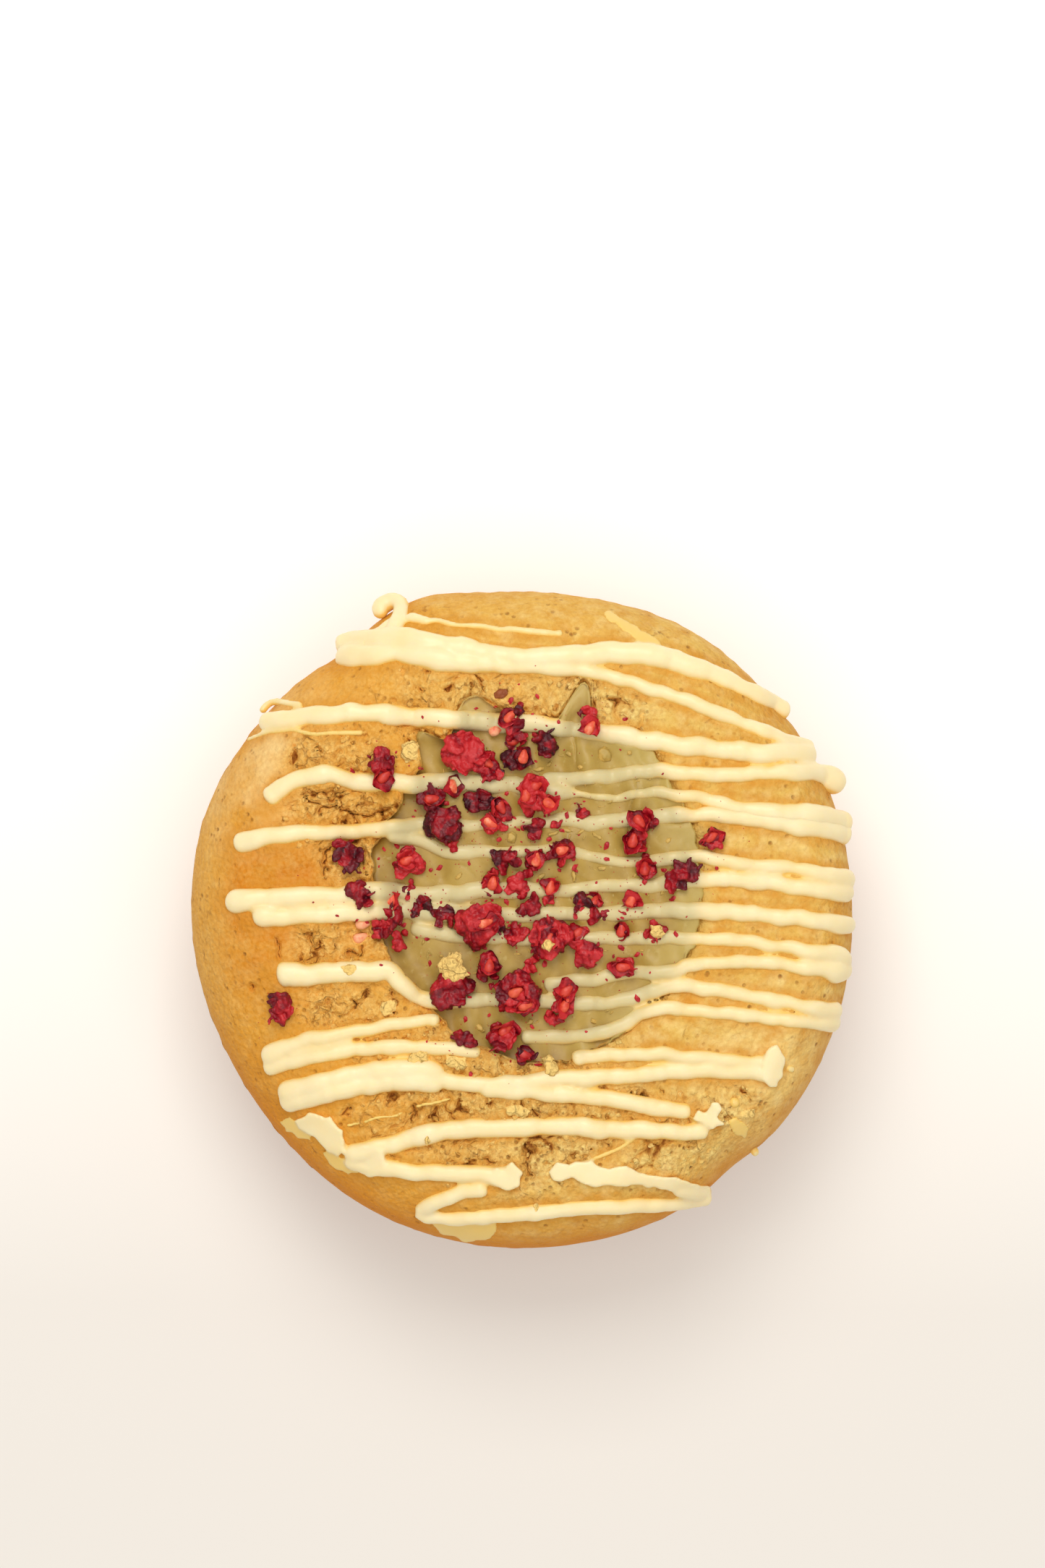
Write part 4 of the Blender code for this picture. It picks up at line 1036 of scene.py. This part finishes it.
def torn_berry(x, y, length, width, turn):
    """Places for one fragment: a low middle, petals that stand round it and a few torn points."""
    turn_x, turn_y = direction(turn)
    parts = []

    def add(along, side, rise, sizes, facing, tilt):
        part_x = x + along * turn_x - side * turn_y
        part_y = y + along * turn_y + side * turn_x
        parts.append(placed(part_x, part_y, ground(part_x, part_y) + rise, sizes, facing, tilt))

    def outward(out_x, out_y):
        return turn + math.degrees(math.atan2(width * out_y, length * out_x)) - 90

    for k in range(max(2, round(length * width / 5))):
        along, side = scatter.uniform(-0.26, 0.26) * length, scatter.uniform(-0.2, 0.2) * width
        size = scatter.uniform(0.5, 0.75) * width
        sizes = (size * 1.3, size * 0.9, size * 0.6)
        tilt = any_tilt(0.5, 0.5)
        add(along, side, scatter.uniform(0.12, 0.26) * width, sizes, scatter.uniform(0, 360), tilt)
    count = max(3, round((length + width) * 0.6))
    for k in range(count):
        out_x, out_y = direction(360 * (k + scatter.uniform(-0.3, 0.3)) / count)
        reach = scatter.uniform(0.22, 0.36)
        tall = scatter.uniform(0.4, 0.75) * width ** 0.7 * 1.35
        lean = scatter.uniform(0.1, 1.1)
        sizes = (scatter.uniform(0.4, 0.75) * width, tall, scatter.uniform(0.5, 0.9))
        rise = 0.12 * width + 0.4 * tall * math.sin(lean)
        add(reach * length * out_x, reach * width * out_y, rise, sizes,
            outward(out_x, out_y) + scatter.uniform(-35, 35), (lean, scatter.uniform(-0.7, 0.7)))
    for k in range(max(1, count // 3)):
        out_x, out_y = direction(scatter.uniform(0, 360))
        sizes = (scatter.uniform(0.4, 0.6), scatter.uniform(0.9, 1.6), 0.45)
        add(0.42 * length * out_x, 0.42 * width * out_y, scatter.uniform(0.2, 0.5) * width, sizes,
            outward(out_x, out_y) + scatter.uniform(-40, 40), (scatter.uniform(-0.2, 0.8), 0))
    return parts


def crinkle(piece, kind, pitch, depth):
    """Roughens a piece along its normals with a fine pattern."""
    pattern = bpy.data.textures.new(piece.name + "_" + kind, kind)
    pattern.noise_scale = pitch * MM
    rough = piece.modifiers.new("Crinkle", "DISPLACE")
    rough.texture = pattern
    rough.texture_coords = "LOCAL"
    rough.strength = depth * MM
    rough.mid_level = 0.5
    apply_all(piece)


def raspberries(name, fragments):
    """One piece of all the fragments of a kind, with the tone of each petal stored in it, raised at high
    points and lowered at low ones as painted light and shade.
    """
    petals, petal_tones = [], []
    for *form, tone in fragments:
        parts = torn_berry(*form)
        petals += parts
        petal_tones += [tone + scatter.gauss(0, 0.16) for _ in parts]
    piece = copies(name, shard_model(3, 3), petals)
    melt(piece, BERRY_VOXEL, 1)
    crinkle(piece, "VORONOI", 0.9, -0.35)
    crinkle(piece, "CLOUDS", 0.4, 0.3)
    tree = tree_of([matrix.translation for matrix in petals])
    tones = []
    # Higher points are paler and lower ones darker: painted light on the raised rims and painted shade in
    # the hollows.
    for corner in piece.data.vertices:
        middle, nearest, _ = tree.find(corner.co)
        tones.append(petal_tones[nearest] + 0.35 * (corner.co.z - middle.z) / MM)
    store(piece, "tone", tones)
    return piece


berry_material, wire, shader = new_material("dried_raspberry", Roughness=0.38, Specular_IOR_Level=0.34)
fleck = (wire.grain(1.3, 3) - 0.5) * 1.1 + (wire.grain(0.45, 2, 4.0) - 0.5) * 0.7
tone = (wire.stored("tone") + fleck).clamped()
red = wire.node("ValToRGB", {"stops": [
    (0.0, paint(60, 2, 14)), (0.35, paint(108, 4, 20)), (0.7, paint(160, 8, 24)), (1.0, paint(202, 42, 46)),
]}, {"Fac": tone})
red = red.coated(wire.spots(0.4, 3, 6.0, 5, -0.2) * 0.09, paint(206, 80, 92))
connect(shader, Base_Color=red, Normal=wire.bump(wire.grain(0.25, 3, 2.0), 0.6, 0.12))
large = [form for form in FRAGMENTS if form[2] * form[3] > LARGE_BERRY]
small = [form for form in FRAGMENTS if form[2] * form[3] <= LARGE_BERRY]
berries = [raspberries("raspberry_large_pieces", large), raspberries("raspberry_small_pieces", small)]
for piece in berries:
    give(piece, berry_material)
    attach(piece, "root")


# The raspberry seeds. Small hard orange teardrops. A few came loose, and each of the others sits in a
# cup of torn dried flesh that shrank round it.

SEEDS = [                 # x, y, turn, tone from 0 red-orange to 1 pale
    (-4.6, 20.2, -35, 0.2), (-3.5, 24.3, 25, 0.9), (0.0, 21.0, 80, 0.5), (-1.2, 23.0, 10, 0.0),
    (-1.7, 26.0, 50, 0.4), (-11.6, 15.6, 10, 0.1), (-9.0, 17.2, -62, 0.7), (-2.9, 14.6, -60, 0.0),
    (-4.2, 12.6, -30, 0.6), (0.3, 16.2, 80, 0.3), (3.3, 15.0, -28, 0.4), (1.6, 17.4, 30, 0.1),
    (8.4, 24.6, 60, 0.6), (-17.6, 18.4, 40, 0.1), (-14.8, 7.8, 30, 0.2), (1.6, 8.0, 85, 0.5),
    (5.0, 9.2, 20, 0.5), (-3.9, 5.0, 80, 0.4), (-16.6, 3.0, 75, 0.6), (-20.3, -0.2, 5, 1.0),
    (-20.6, -1.9, 20, 1.0), (-4.8, 0.0, 20, 0.5), (3.2, -2.2, 70, 0.3), (-1.0, -8.7, 30, 0.5),
    (0.2, -10.4, 10, 0.4), (-4.3, -5.4, 80, 0.1), (5.4, -8.6, 40, 0.2), (-2.3, -13.6, 35, 0.2),
    (0.2, -16.7, -15, 0.0), (14.6, 12.8, -50, 0.1), (13.8, 10.4, 75, 0.1), (12.6, -5.6, 5, 0.2),
    (13.6, 2.8, 60, 0.4), (3.4, 4.4, 80, 0.4), (8.9, 2.6, 60, 0.1), (12.4, -0.9, 80, 0.2),
    (23.6, 10.9, 30, 0.1), (15.3, 6.9, 85, 0.0), (5.2, -10.4, 60, 0.3), (7.0, -1.2, 40, 0.1),
]
LOOSE_TONE = 0.9          # seeds as pale as this lie loose, the others in a cup of dried flesh
SEED_SIZE = (2.0, 1.2, 0.9)
CUP_SIZE = (2.9, 2.1, 1.5)
HIGHEST_SEED = 33.9


def top_of(pieces):
    """A function that gives the level of the highest surface of some pieces at a place."""
    trees = [BVHTree.FromObject(piece, bpy.context.evaluated_depsgraph_get()) for piece in pieces]

    def level_at(x, y):
        levels = []
        for tree in trees:
            hit = tree.ray_cast(Vector((x, y, 60)) * MM, Vector((0, 0, -1)))[0]
            if hit:
                levels.append(hit.z / MM)
        return max(levels) if levels else 0.0

    return level_at


surface = top_of([cookie, cream, *drizzle])
berry_surface = top_of([cookie, cream, *drizzle, *berries])

# A cup is a ball whose top is pressed in to a bowl, with a wavy rim torn to an uneven outline.
cup_model = small_model(3, 0.0, 6)
for corner in cup_model.data.vertices:
    out = min(math.hypot(corner.co.x, corner.co.y), 1.0)
    inside = corner.co.z > 0
    torn = 1 + 0.35 * noise.noise(Vector((corner.co.x, corner.co.y, 0)) * 1.6)
    level = 0.68 * out ** 2 - 0.15 if inside else 0.53 - 1.15 * math.sqrt(1 - out ** 2)
    level += 0.5 * out ** 2 * noise.noise(Vector((corner.co.x, corner.co.y, 3)) * 2.2)
    corner.co = (corner.co.x * torn, corner.co.y * torn * (1 - 0.25 * corner.co.x), level)
cup_places = []
cup_levels = []
for x, y, turn, tone in SEEDS:
    cup_levels.append(min(berry_surface(x, y) + 0.1, HIGHEST_SEED))
    if tone < LOOSE_TONE:
        sizes = [size * scatter.uniform(0.8, 1.25) for size in CUP_SIZE]
        tilt = any_tilt(0.6, 0.4)
        cup_places.append(placed(x, y, cup_levels[-1], sizes, turn + 180 * scatter.randint(0, 1), tilt))
cups = copies("raspberry_cups", cup_model, cup_places)
for corner in cups.data.vertices:
    torn = noise.noise_vector(corner.co / (1.5 * MM)) + 0.4 * noise.noise_vector(corner.co / (0.6 * MM))
    corner.co += 0.6 * MM * torn
cup_tree = tree_of([matrix.translation for matrix in cup_places])
fragment_tree = tree_of([(x, y, 0) for x, y, *_ in FRAGMENTS])
# A cup takes its fragment's tone, paler higher up and darker lower down as painted light and shade.
tones = []
for corner in cups.data.vertices:
    middle, _, _ = cup_tree.find(corner.co)
    _, fragment, _ = fragment_tree.find((middle.x / MM, middle.y / MM, 0))
    tones.append(0.25 + 0.6 * FRAGMENTS[fragment][5] + 0.6 * (corner.co.z - middle.z) / MM)
store(cups, "tone", tones)
cups.data.shade_smooth()
give(cups, berry_material)
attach(cups, "root")

seed_model = small_model(3, 0.1, 1)
for corner in seed_model.data.vertices:
    taper = 1 - 0.35 * corner.co.x
    corner.co.y *= taper
    corner.co.z *= taper
seed_places = []
for (x, y, turn, tone), level in zip(SEEDS, cup_levels):
    seed_places.append(placed(x, y, level + 0.1, SEED_SIZE, turn, any_tilt(0.2, 0.2)))
seeds = copies("raspberry_seeds", seed_model, seed_places)
crinkle(seeds, "CLOUDS", 0.5, 0.1)
seed_tree = tree_of([(x, y, 0) for x, y, *_ in SEEDS])
nearest = [seed_tree.find((corner.co.x / MM, corner.co.y / MM, 0))[1] for corner in seeds.data.vertices]
store(seeds, "tone", [SEEDS[i][3] for i in nearest])
seeds.data.shade_smooth()
seed_material, wire, shader = new_material("raspberry_seed", Roughness=0.4, Specular_IOR_Level=0.4)
tone = (wire.stored("tone") * 0.8 + (wire.grain(0.7, 3) - 0.5) * 1.2 + 0.2).clamped()
orange = wire.node("ValToRGB", {"stops": [
    (0.0, paint(178, 28, 34)), (0.4, paint(216, 66, 46)), (0.7, paint(236, 104, 70)),
    (1.0, paint(248, 176, 130)),
]}, {"Fac": tone})
connect(shader, Base_Color=orange, Normal=wire.bump(wire.grain(0.3, 2, 2.0), 0.3, 0.05))
give(seeds, seed_material)
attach(seeds, "root")


# The raspberry dust. Tiny flakes of the dried berries that came off the fragments as they fell and
# stuck to the white chocolate and the cream round them.

DUST_COUNT = 900
DUST_SPREAD = (2.6, 2.4)
DUST_TONE = 0.85
dust_places = []
for _ in range(DUST_COUNT):
    x, y, *_ = scatter.choice(FRAGMENTS)
    x, y = x + scatter.gauss(0, DUST_SPREAD[0]), y + scatter.gauss(0, DUST_SPREAD[1])
    size = 0.12 + 0.8 * scatter.random() ** 6
    sizes = (size * 1.5, size, size * 0.6)
    dust_places.append(placed(x, y, surface(x, y) + 0.1 * size, sizes, scatter.uniform(0, 360)))
dust = copies("raspberry_dust", small_model(1, 0.9, 5), dust_places)
store(dust, "tone", [DUST_TONE] * len(dust.data.vertices))
give(dust, berry_material)
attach(dust, "root")


# The cookie crumbs. Small baked lumps of the torn crust, loose round the well and in its cracks, with
# larger clusters on the berries and strings and three flat stains of crumb in the white chocolate.

CRUMB_COUNT = 420
CRUMB_RING = (15, 36)     # how far from the cookie's middle the loose crumbs lie
CRUMB_VOXEL = 0.16
CRUMB_CLUSTERS = [        # crumbs that lie on top: x, y, length, width, rise
    (-8.9, -5.6, 3.0, 3.3, 1.6), (3.4, -18.2, 1.0, 2.4, 1.0), (16.9, -1.2, 1.0, 0.9, 0.6),
    (-14.2, 21.6, 1.9, 1.7, 0.6), (-1.5, -23.5, 0.9, 0.8, 0.3), (0.2, -24.0, 1.0, 0.9, 0.3),
    (28.4, -24.2, 1.6, 1.4, 0.3), (-17.4, -10.9, 1.6, 1.6, 0.4), (-13.4, -17.2, 2.2, 1.0, 0.4),
    (-8.6, -17.8, 2.0, 1.3, 0.4), (3.0, -2.9, 0.8, 0.8, 1.2),
]
PALE_CRUMB = 1.5          # above 1 the crust's material turns paler
STAINS = [(-21.9, -5.8, 2.3, 1.4), (-12.2, -27.4, 0.8, 1.3), (1.6, -36.0, 0.8, 1.4)]
cluster_places = []
for x, y, length, width, rise in CRUMB_CLUSTERS:
    base = berry_surface(x, y)
    for k in range(max(4, round(length * width * 1.8))):
        out = math.sqrt(scatter.random()) * 0.42
        turn_x, turn_y = direction(scatter.uniform(0, 360))
        size = scatter.uniform(0.8, 1.7) * min(1.0, width)
        level = base + rise * scatter.uniform(0.0, 0.9) * (1 - out)
        sizes = (size * 1.2, size, size * min(1.0, 0.35 + rise))
        place = (x + length * out * turn_x, y + width * out * turn_y, level)
        cluster_places.append(placed(*place, sizes, scatter.uniform(0, 360)))
for x, y, length, width in STAINS:
    cluster_places.append(placed(x, y, surface(x, y), (length, width, 0.4), 0))
clusters = copies("large_crumbs", small_model(2, 0.6, 8), cluster_places)
melt(clusters, CRUMB_VOXEL, 1)
crinkle(clusters, "CLOUDS", 0.5, 0.3)
store(clusters, "crumb", [PALE_CRUMB] * len(clusters.data.vertices))
crumb_places = []
while len(crumb_places) < CRUMB_COUNT:
    out_x, out_y = direction(scatter.uniform(0, 360))
    out = scatter.uniform(*CRUMB_RING)
    x, y = out * out_x, out * out_y
    if past_well(x, y) > 0.3 and scatter.random() < crumbly(x, y) ** 2:
        size = 0.3 + 0.55 * scatter.random() ** 2
        sizes = (size * 1.3, size, size * 0.8)
        level = crust_height(x, y) + crumb_relief(x, y)[0] - 0.12 * size
        tilt = any_tilt(0.9, 0.9)
        crumb_places.append(placed(x, y, level, sizes, scatter.uniform(0, 360), tilt))
crumbs = copies("cookie_crumbs", small_model(2, 0.5, 8), crumb_places)
crinkle(crumbs, "CLOUDS", 0.45, 0.2)
store(crumbs, "crumb", [1.0] * len(crumbs.data.vertices))
crumbs.data.shade_smooth()
for piece in (clusters, crumbs):
    give(piece, crust_material)
    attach(piece, "root")


# The pistachio bits. Crushed nut and straw-coloured shreds in the cream, some of them standing out of
# it, and one toasted bit on the crust above.

NUT_BITS = [              # x, y, length, width, turn
    (10.2, 21.3, 2.0, 1.8, 80), (1.9, 19.4, 1.4, 0.6, 10), (3.1, 20.0, 1.3, 0.5, 40),
    (13.3, 21.5, 0.8, 0.6, 0), (7.2, 19.7, 0.8, 0.6, 20), (-1.5, 10.8, 1.5, 1.2, 70),
    (3.9, 11.3, 1.6, 0.4, 20), (5.4, 11.7, 1.8, 0.4, -15), (7.3, 11.5, 1.4, 0.4, 30),
    (9.4, 10.9, 1.7, 0.4, -30), (6.3, 5.9, 0.5, 1.5, 10), (2.3, 5.9, 1.3, 0.5, 30),
    (5.8, 21.3, 1.0, 0.5, -40), (16.0, 18.5, 1.2, 0.5, 60), (10.9, 15.4, 0.9, 0.6, 0),
    (-4.2, 17.0, 1.1, 0.5, 10), (13.6, -9.0, 1.2, 0.6, 20), (9.0, -12.5, 1.2, 0.5, -30),
    (-5.6, -13.3, 1.6, 0.7, -40), (-8.2, 5.9, 1.1, 0.5, 45), (10.0, 6.9, 1.2, 0.5, 0),
    (17.6, 4.0, 1.0, 0.5, 70), (0.8, -12.6, 1.1, 0.6, 20), (18.3, 10.4, 1.0, 0.4, 30),
]
SHRED_COUNT = 90
SHRED_REACH = 19
cream_surface = top_of([cream])
bit_places = []
shreds = []
for _ in range(SHRED_COUNT):
    x, y = round_well(scatter.uniform(0, 360), SHRED_REACH * math.sqrt(scatter.random()))
    length, width = scatter.uniform(0.5, 1.4), scatter.uniform(0.14, 0.26)
    shreds.append((x, y, length, width, scatter.uniform(0, 360)))
for x, y, length, width, turn in NUT_BITS + shreds:
    level = cream_surface(x, y) + 0.05 * width
    sizes = (length, width, 0.6 * width)
    bit_places.append(placed(x, y, level, sizes, turn, (0, scatter.uniform(-0.25, 0.25))))
bits = copies("pistachio_bits", small_model(3, 0.5, 12), bit_places)
crinkle(bits, "CLOUDS", 0.5, 0.35)
bits.data.shade_smooth()
bit_material, wire, shader = new_material("crushed_pistachio", Roughness=0.5, Specular_IOR_Level=0.4)
straw = wire.mixed(wire.spots(2.0, 2, 0.0, 4), paint(184, 154, 78), paint(212, 172, 86))
connect(shader, Base_Color=straw, Normal=wire.bump(wire.grain(0.3, 2), 0.4, 0.08))
give(bits, bit_material)
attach(bits, "root")

toasted = copies("toasted_bit", small_model(3, 0.5, 4), [
    placed(-2.9, 28.9, surface(-2.9, 28.9) + 0.2, (1.6, 1.2, 0.8), 20),
    placed(-2.4, 29.0, surface(-2.4, 29.0) + 0.2, (0.9, 0.8, 0.7), 70),
])
toasted.data.shade_smooth()
toasted_material, wire, shader = new_material("toasted_bit", Roughness=0.6)
brown = wire.mixed(wire.grain(0.6, 3), paint(112, 48, 20), paint(178, 96, 44))
connect(shader, Base_Color=brown, Normal=wire.bump(wire.grain(0.3, 2), 0.5, 0.1))
give(toasted, toasted_material)
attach(toasted, "root")


# The floor and the studio. A pale sheet to lie on, with a faint painted glow and painted darker towards the
# front as a fall-off of light, two soft lights and pale light all round, and the camera straight above, as
# far off as the photograph's flat perspective needs.

bpy.ops.object.select_all(action="DESELECT")
bpy.ops.mesh.primitive_plane_add(size=4)
floor_sheet = bpy.context.object
floor_sheet.name = "floor"
# The floor's faint glow is painted light that lifts its shade, and its colour fades darker towards the
# front as a painted fall-off of light.
floor_material, wire, shader = new_material(
    "pale_floor", Roughness=0.7, Emission_Color=paint(255, 250, 242), Emission_Strength=0.16)
far = (wire.axis("Y") / (80 * MM) + 0.65 + (wire.grain(400, 2) - 0.5) * 0.1).clamped()
connect(shader, Base_Color=wire.mixed(far, paint(220, 214, 206), paint(252, 250, 244)))
give(floor_sheet, floor_material)


def soft_light(name, place, aim, size, power, colour):
    """A square softbox, its place, aim and size in metres."""
    light = bpy.data.lights.new(name, "AREA")
    light.size = size
    light.energy = power
    light.color = colour
    holder = bpy.data.objects.new(name, light)
    bpy.context.scene.collection.objects.link(holder)
    holder.location = place
    holder.rotation_euler = (Vector(aim) - Vector(place)).to_track_quat("-Z", "Y").to_euler()
    holder.visible_camera = False


soft_light("key", (-0.04, 0.30, 0.52), (0, 0.02, 0), 0.30, 1.55, (1.0, 0.99, 0.96))
soft_light("overhead", (0.06, -0.16, 0.8), (0, 0.0, 0), 0.9, 2.7, (1.0, 0.98, 0.95))
world = bpy.data.worlds.new("studio")
bpy.context.scene.world = world
world.use_nodes = True
world.node_tree.nodes["Background"].inputs["Color"].default_value = (1.0, 0.985, 0.96, 1)
world.node_tree.nodes["Background"].inputs["Strength"].default_value = 0.45
bpy.context.scene.view_settings.view_transform = "Standard"

PHOTO_SIZE = (1445, 2168)
PHOTO_SCALE = 10.9        # pixels to a millimetre at the crust's level
PHOTO_CENTRE = (724, 1275)
LENS = 120
SENSOR = 36
FOCUS_LEVEL = 29.0
camera = bpy.data.cameras.new("camera")
camera.lens = LENS
camera.sensor_width = SENSOR
camera_holder = bpy.data.objects.new("camera", camera)
bpy.context.scene.collection.objects.link(camera_holder)
distance = PHOTO_SIZE[1] / PHOTO_SCALE * LENS / SENSOR
camera_holder.location = Vector((
    (PHOTO_SIZE[0] / 2 - PHOTO_CENTRE[0]) / PHOTO_SCALE,
    (PHOTO_CENTRE[1] - PHOTO_SIZE[1] / 2) / PHOTO_SCALE,
    distance + FOCUS_LEVEL,
)) * MM
bpy.context.scene.camera = camera_holder
